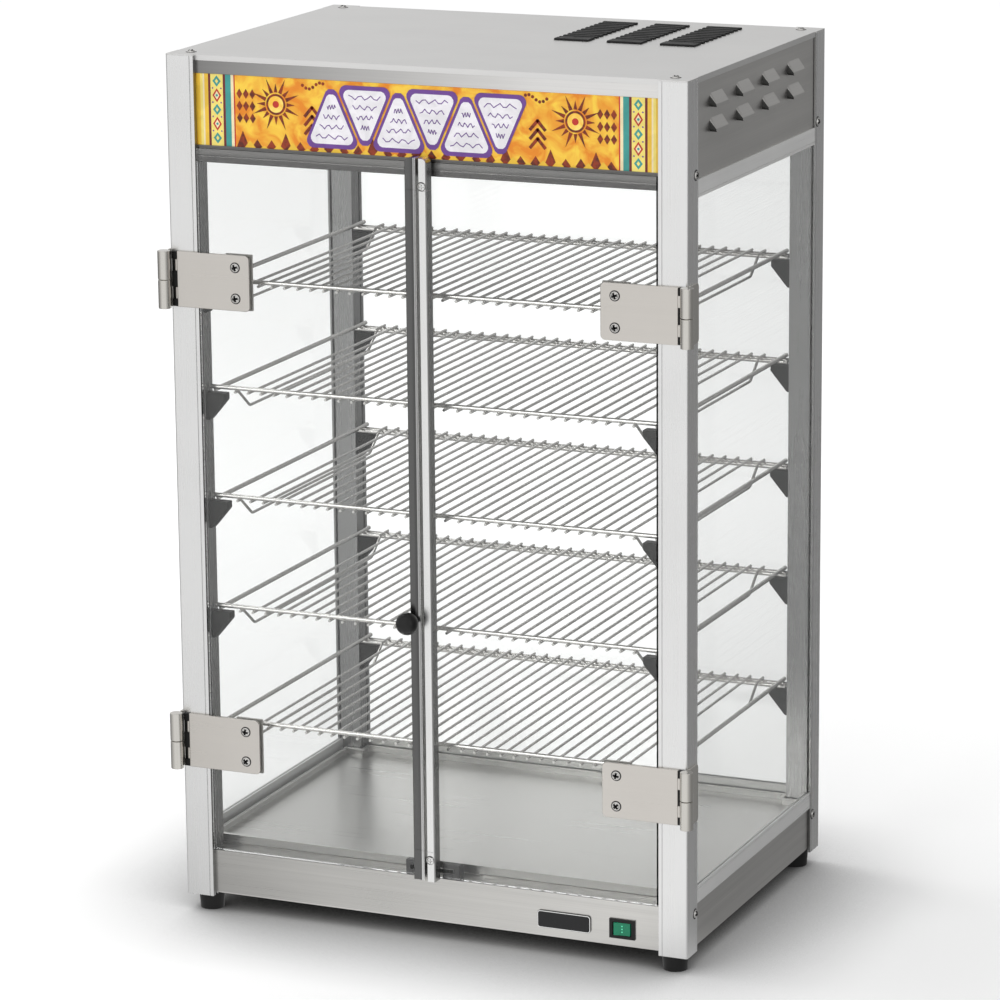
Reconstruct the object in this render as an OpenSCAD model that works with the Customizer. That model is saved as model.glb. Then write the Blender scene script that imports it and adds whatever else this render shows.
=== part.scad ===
// Countertop chip warmer: a tall heated glass cabinet with five wire shelves,
// two swinging glass doors, a lit header sign and a shallow base with a switch.
// Every module below is drawn from the front left foot of the frame: x runs to
// the right, y runs to the back and z runs up from the bottom of the posts.

/* [Cabinet] */
// Width over the corner posts
cab_w = 508; // [470:1:600]
// Depth over the corner posts
cab_d = 358; // [330:1:430]
// Height of the corner posts
post_h = 800; // [790:1:960]
// Thickness of the sheet metal panels
sheet_t = 1.2; // [1:0.1:1.5]
// Thickness of every glass pane
glass_t = 4; // [3:0.5:4.5]

/* [Posts] */
// Width of a post, seen from the front
post_w = 28; // [26:0.5:34]
// Depth of a post, seen from the side
post_d = 25; // [24:0.5:32]
// Wall thickness of the post extrusion
post_wall = 2; // [1.6:0.1:2.4]
// Radius of the posts' outer corner
post_corner_r = 2; // [0.6:0.2:2]

/* [Header] */
// Height of the header, from its lower edge to the top of the posts
header_h = 97; // [90:1:140]
// Height of the sign that shows between the two header rails
sign_h = 65.5; // [55:0.5:100]
// Height of the rail above the sign
top_rail_h = 16; // [12:0.5:20]
// Length of one louvre
louvre_l = 34; // [24:1:40]
// Height of one louvre
louvre_h = 17; // [10:0.5:20]
// How far a louvre stands out
louvre_out = 7; // [4:0.5:9]
// Distance from one louvre to the next along the side
louvre_pitch = 68; // [56:1:78]
// Distance from the upper louvre row to the lower one
louvre_row = 22; // [19:0.5:26]

/* [Base] */
// Height of the base box
base_h = 45; // [40:1:70]
// Depth of the sill behind the base front
sill_d = 29.5; // [27:0.5:40]
// Height of the crumb tray's rim
tray_rim_h = 8; // [5:0.5:12]
// Height of a rubber foot
foot_h = 16; // [10:0.5:25]
// Radius of a rubber foot at its top
foot_r = 12.5; // [10:0.5:14]

/* [Doors] */
// Gap between the meeting stiles of the two doors
stile_gap = 2.6; // [2:0.1:5]
// Width of the right stile, and of the finger pull on the left one
stile_w = 8.4; // [7:0.2:12]
// Width of the ridge on the left stile
ridge_w = 3.2; // [2.4:0.2:5]
// How far the finger pull lies behind the ridge
pull_in = 2.4; // [1.6:0.2:4]
// How far a stile stands in front of the glass
stile_out = 11.6; // [9:0.2:14]
// Gap between a door pane and the post beside it
pane_gap = 1.5; // [1:0.1:3]
// Height of the upper hinges
hinge_high_z = 594; // [450:1:640]
// Height of the lower hinges
hinge_low_z = 153; // [120:1:300]
// Height of the door knob
knob_z = 295; // [230:1:430]
// Radius of the door knob
knob_r = 10.4; // [8:0.2:11]

/* [Hinges] */
// Width of a hinge plate, measured from the hinge axis
hinge_reach = 84; // [70:1:100]
// Height of a hinge plate
hinge_plate_h = 52; // [44:1:64]
// Height of a hinge barrel
barrel_h = 54; // [48:1:66]
// Radius of a hinge barrel
barrel_r = 6; // [5:0.25:6.5]
// Thickness of a hinge plate
plate_t = 3; // [2:0.1:3.4]
// Radius of a hinge pin
pin_r = 2.5; // [2:0.1:3]
// Radial running clearance of a hinge pin
pin_fit = 0.05; // [0.02:0.01:0.1]

/* [Shelves] */
// Height of each shelf above the post bottoms, lowest first
shelf_heights = [169, 280, 386, 489, 590];
// Radius of the shelf's front, side and rear rods
rod_r = 2.5; // [2:0.1:3]
// Radius of a shelf wire
wire_r = 1.5; // [1:0.1:2]
// Number of wires in a shelf, the two bent side wires included
wire_count = 31; // [21:2:41]
// How far the bent side wires dip
dip_h = 18; // [8:1:24]
// How far a shelf bracket reaches in from its post
bracket_reach = 19; // [14:0.5:24]
// Height of a shelf bracket
bracket_h = 26; // [18:1:34]

/* [Vents] */
// Number of black vent inserts in the top cover
vent_count = 3; // [1:1:3]
// Length of a vent insert
vent_l = 130; // [90:1:150]
// Width of a vent insert
vent_w = 34; // [24:1:40]
// Number of ribs in a vent insert
rib_count = 13; // [7:1:15]

/* [Switch and badge] */
// Width of the switch bezel
bezel_w = 25; // [22:0.5:30]
// Height of the switch bezel
bezel_h = 18.5; // [16:0.5:22]
// Width of the blank badge plate
badge_w = 53; // [40:1:80]
// Height of the blank badge plate
badge_h = 17; // [12:0.5:22]

/* [Hidden] */
$fn = 48;

// The frame's origin is under the middle of everything, on the counter.
knob_out = 22;
rear_out = 9;
front_reach = stile_out + 0.4 + knob_out;
front_y = (front_reach - rear_out - cab_d) / 2;

mid_x = cab_w / 2;
slip = 0.1;
seat = 0.3;

// Grooves of the post extrusion: one for side panes, one for front and rear panels.
side_lip = post_wall;
groove_w = glass_t + 0.6;
groove_depth = 8;
front_lip = 4.7;
boss_u = 18;
boss_v = 17;
boss_r = 4.2;
bore_r = 1.9;

// Planes that the panels and panes lie in.
panel_x = side_lip + 0.4;
panel_y = front_lip + slip;
pane_x = side_lip + 0.3;
rail_x0 = 0.6;
rail_x1 = 8;
rail_h = 16;
rear_pane_y = cab_d - front_lip - slip - glass_t;
rear_rail_y0 = cab_d - 11;
rear_rail_y1 = cab_d - 3;

header_z = post_h - header_h;
ceiling_z = header_z;
sign_z0 = header_z + header_h - top_rail_h - sign_h;
sign_z1 = sign_z0 + sign_h;
side_rail_z1 = header_z + 8;
side_rail_z0 = side_rail_z1 - rail_h;
bottom_pan_z = 2.8;
panel_z0 = bottom_pan_z + sheet_t;

door_y1 = 3.6;
door_y0 = door_y1 - glass_t;
door_z0 = base_h + 2.5;
door_z1 = sign_z0 - 2.5;
stile_z0 = base_h + 1.5;
stile_z1 = sign_z0 + 2.5;
stile_end_h = 29;
stile_x1 = mid_x - stile_gap / 2;
function stile_x0(pull) = stile_x1 - stile_w - (pull ? ridge_w : 0);
pane_x0 = post_w + pane_gap;
function pane_x1(pull) = stile_x0(pull) + 2;

axis_x = -2.4;
axis_y = door_y0 - plate_t + 1.1 - barrel_r;
knuckle_gap = 0.3;
plate_x0 = axis_x + 6.9;
plate_x1 = axis_x + hinge_reach;
hinge_screw_dx = 14;
hinge_screw_dz = 14.4;
leaf_back = 21;

screw_r = 1.8;
screw_head_r = 4;
screw_head_h = 2.4;
frame_screw_y = post_d - groove_depth + 2.5;
frame_screw_zs = [base_h - 7.5, sign_z0 - 2.5];
hole_fit = 0.06;

shelf_x0 = post_w + 1.5;
shelf_x1 = cab_w - shelf_x0;
shelf_y0 = 18;
shelf_y1 = cab_d - 15;
side_rod_in = 5.5;
first_wire_in = 27;
wire_step = (shelf_x1 - shelf_x0 - 2 * first_wire_in) / (wire_count - 1);

tray_x0 = 12;
tray_y0 = sill_d + 1.5;
tray_y1 = cab_d - 13;

switch_x = cab_w - 65;
switch_z = base_h * 0.43;
badge_x = cab_w - 122.5;

fan_x = mid_x - 70;
fan_y = cab_d / 2 + 30;
fan_size = 120;
fan_h = 26;
fan_hole_r = 56;
fan_shaft_r = 2;

aluminium = [0.82, 0.82, 0.81];
steel = [0.74, 0.73, 0.71];
dark_steel = [0.48, 0.47, 0.45];
nickel = [0.77, 0.74, 0.70];
black = [0.07, 0.07, 0.07];

// Put a piece drawn from the front left foot into the shared frame.
module in_frame() {
  translate([-cab_w / 2, front_y, foot_h])
    children();
}

// The same piece on the other side of the cabinet.
module other_side() {
  translate([cab_w, 0, 0])
    mirror([1, 0, 0])
      children();
}

// The same piece at the back of the cabinet.
module other_end() {
  translate([0, cab_d, 0])
    mirror([0, 1, 0])
      children();
}

// A block between two x, two y and two z values.
module block(x, y, z) {
  translate([x[0], y[0], z[0]])
    cube([x[1] - x[0], y[1] - y[0], z[1] - z[0]]);
}

// A round bar along x, y or z from one point.
module bar_x(at, r, l) {
  translate(at)
    rotate([0, 90, 0])
      cylinder(r = r, h = l);
}
module bar_y(at, r, l) {
  translate(at)
    rotate([-90, 0, 0])
      cylinder(r = r, h = l);
}
module bar_z(at, r, l) {
  translate(at)
    cylinder(r = r, h = l);
}

// A profile drawn in x and z, run along y.
module run_y(y0, y1) {
  translate([0, y1, 0])
    rotate([90, 0, 0])
      linear_extrude(y1 - y0)
        children();
}

// A profile drawn in y and z, run along x.
module run_x(x0, x1) {
  translate([x0, 0, 0])
    rotate([90, 0, 90])
      linear_extrude(x1 - x0)
        children();
}

// A pan head screw along +z with a cross recess, its head above the origin.
module pan_screw(l) {
  slot_w = 0.9;
  difference() {
    union() {
      translate([0, 0, -l])
        cylinder(r = screw_r, h = l);
      cylinder(r = screw_head_r, h = screw_head_h * 0.45);
      translate([0, 0, screw_head_h * 0.45])
        cylinder(r1 = screw_head_r, r2 = screw_head_r * 0.62, h = screw_head_h * 0.55);
    }
    for (a = [0, 90])
      rotate([0, 0, a])
        translate([-screw_head_r * 0.55, -slot_w / 2, screw_head_h - 1.3])
          cube([screw_head_r * 1.1, slot_w, 2]);
  }
}

// Corner post: a two-chamber extrusion with two panel grooves and a screw port.
module post_outline() {
  translate([post_corner_r, 0])
    square([post_w - post_corner_r, post_d]);
  translate([0, post_corner_r])
    square([post_w, post_d - post_corner_r]);
  translate([post_corner_r, post_corner_r])
    circle(r = post_corner_r);
}

module post_section() {
  groove_end = side_lip + groove_w;
  front_groove_end = front_lip + groove_w;
  difference() {
    post_outline();
    translate([side_lip, post_d - groove_depth])
      square([groove_w, groove_depth + 1]);
    translate([post_w - groove_depth, front_lip])
      square([groove_depth + 1, groove_w]);
    translate([post_w - 4, -0.5])
      square([0.7, 1]);
    translate([-0.5, post_d - 3])
      square([1, 0.7]);
    difference() {
      union() {
        translate([post_wall, post_wall])
          square([post_w - groove_depth - 2 * post_wall, post_d - groove_depth - 2 * post_wall]);
        translate([groove_end + post_wall, front_groove_end + post_wall])
          square([post_w - groove_end - 2 * post_wall, post_d - front_groove_end - 2 * post_wall]);
      }
      translate([boss_u, boss_v])
        circle(r = boss_r);
      translate([boss_u - 1, boss_v])
        square([2, post_d - boss_v]);
      translate([boss_u, boss_v - 1])
        square([post_w - boss_u, 2]);
    }
    translate([boss_u, boss_v])
      circle(r = bore_r);
  }
}

module frame_screw_holes() {
  for (z = frame_screw_zs)
    bar_x([-1, frame_screw_y, z], screw_r + hole_fit, 12);
}

module corner_post() {
  color(aluminium)
    difference() {
      linear_extrude(post_h)
        post_section();
      frame_screw_holes();
    }
}

module post_front_left() {
  in_frame() corner_post();
}
module post_front_right() {
  in_frame() other_side() corner_post();
}
module post_rear_left() {
  in_frame() other_end() corner_post();
}
module post_rear_right() {
  in_frame() other_side() other_end() corner_post();
}

// Top cover: one folded sheet, full over the posts and set in between them.
cover_inset_y = front_lip - sheet_t - slip;
cover_inset_x = side_lip - sheet_t;
cover_lip_h = 4;

module plan_outline() {
  r = post_corner_r;
  translate([r, 0])
    square([cab_w - 2 * r, cab_d]);
  translate([0, r])
    square([cab_w, cab_d - 2 * r]);
  for (x = [r, cab_w - r], y = [r, cab_d - r])
    translate([x, y])
      circle(r = r);
}

module cover_outline() {
  ix = cover_inset_x;
  iy = cover_inset_y;
  polygon([
    [0, 0], [post_w, 0], [post_w, iy], [cab_w - post_w, iy], [cab_w - post_w, 0], [cab_w, 0],
    [cab_w, post_d], [cab_w - ix, post_d], [cab_w - ix, cab_d - post_d], [cab_w, cab_d - post_d],
    [cab_w, cab_d], [cab_w - post_w, cab_d], [cab_w - post_w, cab_d - iy], [post_w, cab_d - iy],
    [post_w, cab_d], [0, cab_d], [0, cab_d - post_d], [ix, cab_d - post_d], [ix, post_d], [0, post_d]
  ]);
}

module cover_lips() {
  for (far = [false, true])
    translate([0, far ? cab_d : 0, 0])
      mirror([0, far ? 1 : 0, 0])
        block([post_w + slip, cab_w - post_w - slip],
              [cover_inset_y, cover_inset_y + sheet_t],
              [post_h - cover_lip_h, post_h]);
  for (far = [false, true])
    translate([far ? cab_w : 0, 0, 0])
      mirror([far ? 1 : 0, 0, 0])
        block([cover_inset_x, cover_inset_x + sheet_t],
              [post_d + slip, cab_d - post_d - slip],
              [post_h - cover_lip_h, post_h]);
}

function vent_x(i) = cab_w - 87 - i * 52.3;
vent_y = cab_d - 94.5;

module top_cover() {
  in_frame()
    color(steel)
      difference() {
        union() {
          translate([0, 0, post_h])
            linear_extrude(sheet_t)
              intersection() {
                cover_outline();
                plan_outline();
              }
          cover_lips();
        }
        for (x = [boss_u, cab_w - boss_u], y = [boss_v, cab_d - boss_v])
          bar_z([x, y, post_h - 1], screw_r + hole_fit, 4);
        for (i = [0:vent_count - 1])
          block([vent_x(i) - vent_w / 2 + 2, vent_x(i) + vent_w / 2 - 2],
                [vent_y - vent_l / 2 + 2, vent_y + vent_l / 2 - 2],
                [post_h - 1, post_h + 3]);
      }
}

// Black vent insert: a frame with a skirt through the cover and round topped ribs.
module vent_insert() {
  rib_step = (vent_l - 6) / (rib_count - 1);
  top_z = post_h + sheet_t;
  difference() {
    union() {
      block([-vent_w / 2, vent_w / 2], [-vent_l / 2, vent_l / 2], [top_z, top_z + 1]);
      block([-vent_w / 2 + 2.2, vent_w / 2 - 2.2], [-vent_l / 2 + 2.2, vent_l / 2 - 2.2], [top_z - 4, top_z]);
    }
    block([-vent_w / 2 + 3.6, vent_w / 2 - 3.6], [-vent_l / 2 + 3.6, vent_l / 2 - 3.6], [top_z - 5, top_z + 2]);
  }
  for (i = [0:rib_count - 1])
    translate([0, -vent_l / 2 + 3 + i * rib_step, top_z])
      run_x(-vent_w / 2, vent_w / 2)
        intersection() {
          translate([0, 2])
            circle(r = 2.8);
          translate([-3, 0])
            square([6, 6]);
        }
}

module top_vents() {
  in_frame()
    color(black)
      for (i = [0:vent_count - 1])
        translate([vent_x(i), vent_y, 0])
          vent_insert();
}

// Header rails: they slide into the posts' front grooves and hold the sign
// behind a thin lip. The lower one is the stop that the doors close on.
rail_t = groove_w - 2 * slip;
sign_lip = 1.2;
sign_t = 2.8;
tongue_x0 = post_w - groove_depth + seat;
tongue_x1 = cab_w - tongue_x0;

module header_top_rail() {
  y1 = panel_y + rail_t;
  in_frame()
    color(steel) {
      run_x(tongue_x0, tongue_x1)
        polygon([[panel_y, sign_z1], [panel_y + sign_lip, sign_z1], [panel_y + sign_lip, sign_z1 + 5],
                 [y1, sign_z1 + 5], [y1, post_h - slip], [panel_y, post_h - slip]]);
      run_x(post_w + slip, cab_w - post_w - slip)
        polygon([[y1 - 0.5, post_h - 1.6], [y1 + 12, post_h - 1.6], [y1 + 12, post_h - slip], [y1 - 0.5, post_h - slip]]);
    }
}

module header_bottom_rail() {
  y1 = panel_y + rail_t;
  groove_z = header_z + 6;
  in_frame()
    color(dark_steel) {
      run_x(tongue_x0, tongue_x1)
        polygon([[panel_y, header_z], [y1, header_z], [y1, sign_z0 - 5], [panel_y + sign_lip, sign_z0 - 5],
                 [panel_y + sign_lip, sign_z0], [panel_y, sign_z0], [panel_y, groove_z + 0.5],
                 [panel_y + 0.5, groove_z], [panel_y, groove_z - 0.5]]);
      run_x(post_w + slip, cab_w - post_w - slip)
        polygon([[y1 - 0.5, header_z], [y1 + 7, header_z], [y1 + 7, header_z + 1.5], [y1 - 0.5, header_z + 1.5]]);
    }
}

module sign_panel() {
  y0 = panel_y + sign_lip + slip;
  in_frame()
    color([0.95, 0.68, 0.18])
      block([tongue_x0 + 0.2, tongue_x1 - 0.2], [y0, y0 + sign_t], [sign_z0 - 4.7, sign_z1 + 4.7]);
}

// One pressed louvre, open at the bottom, drawn on the plane x = 0 with its
// hood standing out to -x and its lower corner at y = 0 and z = 0.
module louvre_shell(l, h, out) {
  end_in = 5;
  intersection() {
    run_y(0, l)
      polygon([[0.5, 0], [-out, 0], [-out, 1.5], [-out * 0.75, h * 0.55], [-out * 0.3, h * 0.9], [0.5, h]]);
    rotate([90, 0, 90])
      translate([0, 0, -out - 1])
        linear_extrude(out + 2)
          polygon([[0, 0], [l, 0], [l - end_in, h], [end_in, h]]);
  }
}

module louvres(cut) {
  y_start = (cab_d - 3 * louvre_pitch - louvre_l) / 2 - 5;
  z_start = header_z + 66;
  for (i = [0:3], j = [0:1])
    translate([panel_x, y_start + i * louvre_pitch, z_start - j * louvre_row])
      if (cut)
        translate([sheet_t, sheet_t, -0.5])
          louvre_shell(louvre_l - 2 * sheet_t, louvre_h - sheet_t, louvre_out - 0.2);
      else
        louvre_shell(louvre_l, louvre_h, louvre_out);
}

// Header side: a sheet with folded ends that fill the post grooves, and louvres.
module header_side() {
  y0 = post_d - groove_depth + seat;
  z0 = side_rail_z1;
  z1 = post_h - slip;
  color(dark_steel)
    difference() {
      union() {
        block([panel_x, panel_x + sheet_t], [y0, cab_d - y0], [z0, z1]);
        for (y = [y0, cab_d - y0 - 6])
          block([panel_x, panel_x + glass_t], [y, y + 6], [z0, z1]);
        louvres(false);
      }
      louvres(true);
      frame_screw_holes();
      other_end() frame_screw_holes();
    }
}

module header_side_left() {
  in_frame() header_side();
}
module header_side_right() {
  in_frame() other_side() header_side();
}

module header_rear_panel() {
  in_frame()
    color(dark_steel)
      other_end() {
        block([tongue_x0, tongue_x1], [panel_y, panel_y + sheet_t], [side_rail_z1, post_h - slip]);
        for (x = [tongue_x0, tongue_x1 - 5])
          block([x, x + 5], [panel_y, panel_y + glass_t], [side_rail_z1, post_h - slip]);
      }
}

// Flat outline between the rails with its corners cut out round the posts.
module deck_outline(x0, y0, y1) {
  cx = post_w + 0.2;
  cy = post_d + 0.2;
  front = max(y0, 0);
  polygon([
    [cx, front], [cab_w - cx, front], [cab_w - cx, max(cy, front)], [cab_w - x0, max(cy, front)],
    [cab_w - x0, cab_d - cy], [cab_w - cx, cab_d - cy], [cab_w - cx, y1], [cx, y1],
    [cx, cab_d - cy], [x0, cab_d - cy], [x0, max(cy, front)], [cx, max(cy, front)]
  ]);
}

// Ceiling pan under the header, with the fan hole and rows of warm air slots.
module ceiling_pan() {
  slot_l = 44;
  in_frame()
    color(steel)
      difference() {
        translate([0, 0, ceiling_z])
          linear_extrude(sheet_t)
            deck_outline(rail_x1, panel_y + rail_t + 7, rear_rail_y0);
        bar_z([fan_x, fan_y, ceiling_z - 1], fan_hole_r - 2, 4);
        for (x = [40:20:cab_w - 40])
          block([x, x + 8], [30, 30 + slot_l], [ceiling_z - 1, ceiling_z + 3]);
      }
}

// Side rails: aluminium channels that hold the upper and lower edge of a pane.
module rail_profile(slot_up) {
  slot_h = 6;
  difference() {
    translate([rail_x0, 0])
      square([rail_x1 - rail_x0, rail_h]);
    translate([pane_x - slip, slot_up ? rail_h - slot_h : -1])
      square([glass_t + 2 * slip, slot_h + 1]);
    translate([rail_x0 - 0.1, slot_up ? rail_h - 3 : 2.4])
      square([0.6, 0.6]);
  }
}

module rail_pair() {
  translate([0, 0, base_h])
    run_y(post_d, cab_d - post_d)
      rail_profile(true);
  translate([0, 0, side_rail_z0])
    run_y(post_d, cab_d - post_d)
      rail_profile(false);
}

module side_rails() {
  in_frame()
    color(aluminium) {
      rail_pair();
      other_side() rail_pair();
    }
}

module side_glass() {
  y0 = post_d - groove_depth + seat;
  color([0.85, 0.93, 0.92, 0.3])
    block([pane_x, pane_x + glass_t], [y0, cab_d - y0], [base_h + rail_h - 5.7, side_rail_z0 + 5.7]);
}

module side_glass_left() {
  in_frame() side_glass();
}
module side_glass_right() {
  in_frame() other_side() side_glass();
}

// Rear rails and pane, held the same way between the rear posts.
module rear_rail_section(slot_up) {
  slot_h = 6;
  difference() {
    translate([rear_rail_y0, 0])
      square([rear_rail_y1 - rear_rail_y0, rail_h]);
    translate([rear_pane_y - slip, slot_up ? rail_h - slot_h : -1])
      square([glass_t + 2 * slip, slot_h + 1]);
  }
}

module rear_rails() {
  in_frame()
    color(aluminium) {
      translate([0, 0, base_h])
        run_x(post_w, cab_w - post_w)
          rear_rail_section(true);
      translate([0, 0, side_rail_z0])
        run_x(post_w, cab_w - post_w)
          rear_rail_section(false);
    }
}

module rear_glass() {
  in_frame()
    color([0.85, 0.93, 0.92, 0.3])
      block([tongue_x0, tongue_x1], [rear_pane_y, rear_pane_y + glass_t],
            [base_h + rail_h - 5.7, side_rail_z0 + 5.7]);
}

// Base front: a folded channel with a sill on top and a cut-out for the switch.
module base_front_panel() {
  y0 = panel_y;
  in_frame()
    color(steel)
      difference() {
        union() {
          block([tongue_x0, tongue_x1], [y0, y0 + sheet_t], [panel_z0, base_h - 3]);
          block([post_w + slip, cab_w - post_w - slip], [y0, y0 + sheet_t], [base_h - 3.5, base_h]);
          block([post_w + slip, cab_w - post_w - slip], [y0, sill_d], [base_h - sheet_t, base_h]);
          block([post_w + slip, cab_w - post_w - slip], [y0, y0 + 14], [panel_z0, panel_z0 + sheet_t]);
        }
        block([switch_x - bezel_w / 2 + 1.8, switch_x + bezel_w / 2 - 1.8], [y0 - 1, y0 + 3],
              [switch_z - bezel_h / 2 + 1.6, switch_z + bezel_h / 2 - 1.6]);
      }
}

// Base side: a sheet with folded ends in the post grooves and an inner top fold.
module base_side() {
  y0 = post_d - groove_depth + seat;
  color(dark_steel)
    difference() {
      union() {
        block([panel_x, panel_x + sheet_t], [y0, cab_d - y0], [panel_z0, base_h - 0.5]);
        for (y = [y0, cab_d - y0 - 6])
          block([panel_x, panel_x + glass_t], [y, y + 6], [panel_z0, base_h - 0.5]);
      }
      frame_screw_holes();
      other_end() frame_screw_holes();
    }
}

module base_side_left() {
  in_frame() base_side();
}
module base_side_right() {
  in_frame() other_side() base_side();
}

gland_x = 70;
gland_z = base_h / 2;
gland_r = 7;

module base_rear_panel() {
  in_frame()
    color(dark_steel)
      difference() {
        other_end() {
          block([tongue_x0, tongue_x1], [panel_y, panel_y + sheet_t], [panel_z0, base_h - slip]);
          for (x = [tongue_x0, tongue_x1 - 5])
            block([x, x + 5], [panel_y, panel_y + glass_t], [panel_z0, base_h - slip]);
        }
        bar_y([gland_x, cab_d - 10, gland_z], gland_r + slip, 12);
      }
}

module base_bottom_pan() {
  in_frame()
    color(dark_steel)
      difference() {
        translate([0, 0, bottom_pan_z])
          linear_extrude(sheet_t)
            deck_outline(panel_x + sheet_t, panel_y + 0.4, cab_d - panel_y - sheet_t);
        for (x = [cab_w / 2 - 90:20:cab_w / 2 + 90])
          block([x, x + 8], [cab_d / 2 - 30, cab_d / 2 + 30], [0, 6]);
      }
}

// Base deck: the sheet under the crumb tray, behind the sill.
module base_deck() {
  in_frame()
    color(steel)
      translate([0, 0, base_h - sheet_t])
        linear_extrude(sheet_t)
          deck_outline(panel_x + sheet_t, sill_d, cab_d - panel_y - sheet_t);
}

// Crumb tray: a lift-out pan with a raised rim, notched round the rear posts.
module tray_outline(t) {
  nx = post_w + 2 + t;
  ny = cab_d - post_d - 2 - t;
  x0 = tray_x0 + t;
  x1 = cab_w - x0;
  polygon([
    [x0, tray_y0 + t], [x1, tray_y0 + t], [x1, ny], [cab_w - nx, ny],
    [cab_w - nx, tray_y1 - t], [nx, tray_y1 - t], [nx, ny], [x0, ny]
  ]);
}

module crumb_tray() {
  in_frame()
    color(steel)
      translate([0, 0, base_h + seat]) {
        linear_extrude(sheet_t)
          tray_outline(0);
        difference() {
          linear_extrude(tray_rim_h)
            tray_outline(0);
          translate([0, 0, -1])
            linear_extrude(tray_rim_h + 2)
              tray_outline(sheet_t);
        }
        difference() {
          translate([0, 0, tray_rim_h - sheet_t])
            linear_extrude(sheet_t)
              tray_outline(0);
          translate([0, 0, tray_rim_h - 2])
            linear_extrude(3)
              tray_outline(4);
        }
      }
}

// Rubber feet: tapered, with a sunk screw up into each post's screw port.
foot_sink = 9;

module foot_places() {
  for (x = [boss_u, cab_w - boss_u], y = [boss_v, cab_d - boss_v])
    translate([x, y, 0])
      children();
}

module feet() {
  in_frame()
    color(black)
      foot_places()
        difference() {
          translate([0, 0, -foot_h])
            cylinder(r1 = foot_r * 0.9, r2 = foot_r, h = foot_h);
          translate([0, 0, -foot_h - 1])
            cylinder(r = screw_head_r + 1, h = foot_sink + 1);
          translate([0, 0, -foot_h])
            cylinder(r = screw_r + hole_fit, h = foot_h + 1);
        }
}

module foot_screws() {
  in_frame()
    color(steel)
      foot_places()
        translate([0, 0, -foot_h + foot_sink])
          rotate([180, 0, 0])
            pan_screw(foot_h - foot_sink + 12);
}

// Heights of the wires and of the rear rods under them, from a shelf's side rods.
wire_z = -1.1;
rear_rod_z = wire_z - wire_r - rod_r + 0.5;

// Shelf brackets: black plastic gussets on the inner faces of the posts, the
// front ones under the side rods and the rear ones under the rear rods.
bracket_t = 11;

module shelf_bracket(top_z) {
  translate([post_w, bracket_t, top_z])
    rotate([90, 0, 0])
      linear_extrude(bracket_t)
        polygon([[0, 0], [bracket_reach, 0], [bracket_reach, -6.5], [2.5, -bracket_h], [0, -bracket_h]]);
}

module bracket_pair() {
  translate([0, shelf_y0 - 6.5, 0])
    shelf_bracket(-rod_r - seat);
  translate([0, cab_d - post_d + 1, 0])
    shelf_bracket(rear_rod_z - rod_r - seat);
}

module shelf_brackets() {
  in_frame()
    color(black)
      for (z = shelf_heights)
        translate([0, 0, z]) {
          bracket_pair();
          other_side() bracket_pair();
        }
}

// Wire shelf: a front rod over the wires, side rods, and two rods under the
// wires at the back. The outermost wires dip below the shelf.
wire_y0 = shelf_y0 - 4;
wire_y1 = shelf_y1 + 2;
front_straight = 7;
rear_straight = 17;
dip_slope = 38;
bend_r = wire_r * 1.1;

module wire_through(points) {
  for (i = [0:len(points) - 2]) {
    step = points[i + 1] - points[i];
    translate(points[i])
      rotate([-atan2(norm([step[0], step[1]]), step[2]), 0, 0])
        cylinder(r = wire_r, h = norm(step));
  }
  for (i = [1:len(points) - 2])
    translate(points[i])
      sphere(r = bend_r);
}

module dipped_wire(x) {
  run = dip_h / tan(dip_slope);
  z_low = wire_z - dip_h;
  wire_through([
    [x, wire_y0, wire_z], [x, wire_y0 + front_straight, wire_z], [x, wire_y0 + front_straight + run, z_low],
    [x, wire_y1 - rear_straight - run, z_low], [x, wire_y1 - rear_straight, wire_z], [x, wire_y1, wire_z]
  ]);
}

module wire_shelf(z) {
  $fn = 16;
  in_frame()
    color(steel)
      translate([0, 0, z]) {
        bar_x([shelf_x0, shelf_y0, wire_z + wire_r + rod_r - 0.3], rod_r, shelf_x1 - shelf_x0);
        for (y = [shelf_y1, shelf_y1 - 9])
          bar_x([shelf_x0 + 2, y, rear_rod_z], rod_r, shelf_x1 - shelf_x0 - 4);
        for (x = [shelf_x0 + side_rod_in, shelf_x1 - side_rod_in])
          bar_y([x, shelf_y0 - 1, 0], rod_r, shelf_y1 - shelf_y0 + 4);
        for (i = [1:wire_count - 2])
          bar_y([shelf_x0 + first_wire_in + i * wire_step, wire_y0, wire_z], wire_r, wire_y1 - wire_y0);
        dipped_wire(shelf_x0 + first_wire_in);
        dipped_wire(shelf_x1 - first_wire_in);
      }
}

module shelf_1() {
  wire_shelf(shelf_heights[0]);
}
module shelf_2() {
  wire_shelf(shelf_heights[1]);
}
module shelf_3() {
  wire_shelf(shelf_heights[2]);
}
module shelf_4() {
  wire_shelf(shelf_heights[3]);
}
module shelf_5() {
  wire_shelf(shelf_heights[4]);
}

// Screws through the post sides into the header and base panels, and through
// the top cover into the posts' screw ports.
module frame_screws() {
  in_frame()
    color(steel) {
      for (z = frame_screw_zs, y = [frame_screw_y, cab_d - frame_screw_y]) {
        translate([0, y, z])
          rotate([0, -90, 0])
            pan_screw(8);
        translate([cab_w, y, z])
          rotate([0, 90, 0])
            pan_screw(8);
      }
      foot_places()
        translate([0, 0, post_h + sheet_t])
          pan_screw(14);
    }
}

// Hinges: the fixed leaf wraps the post's side and carries the lower knuckle
// and the pin, the door leaf carries the upper knuckle.
module hinge_places() {
  for (z = [hinge_low_z, hinge_high_z])
    translate([0, 0, z])
      children();
}

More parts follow.
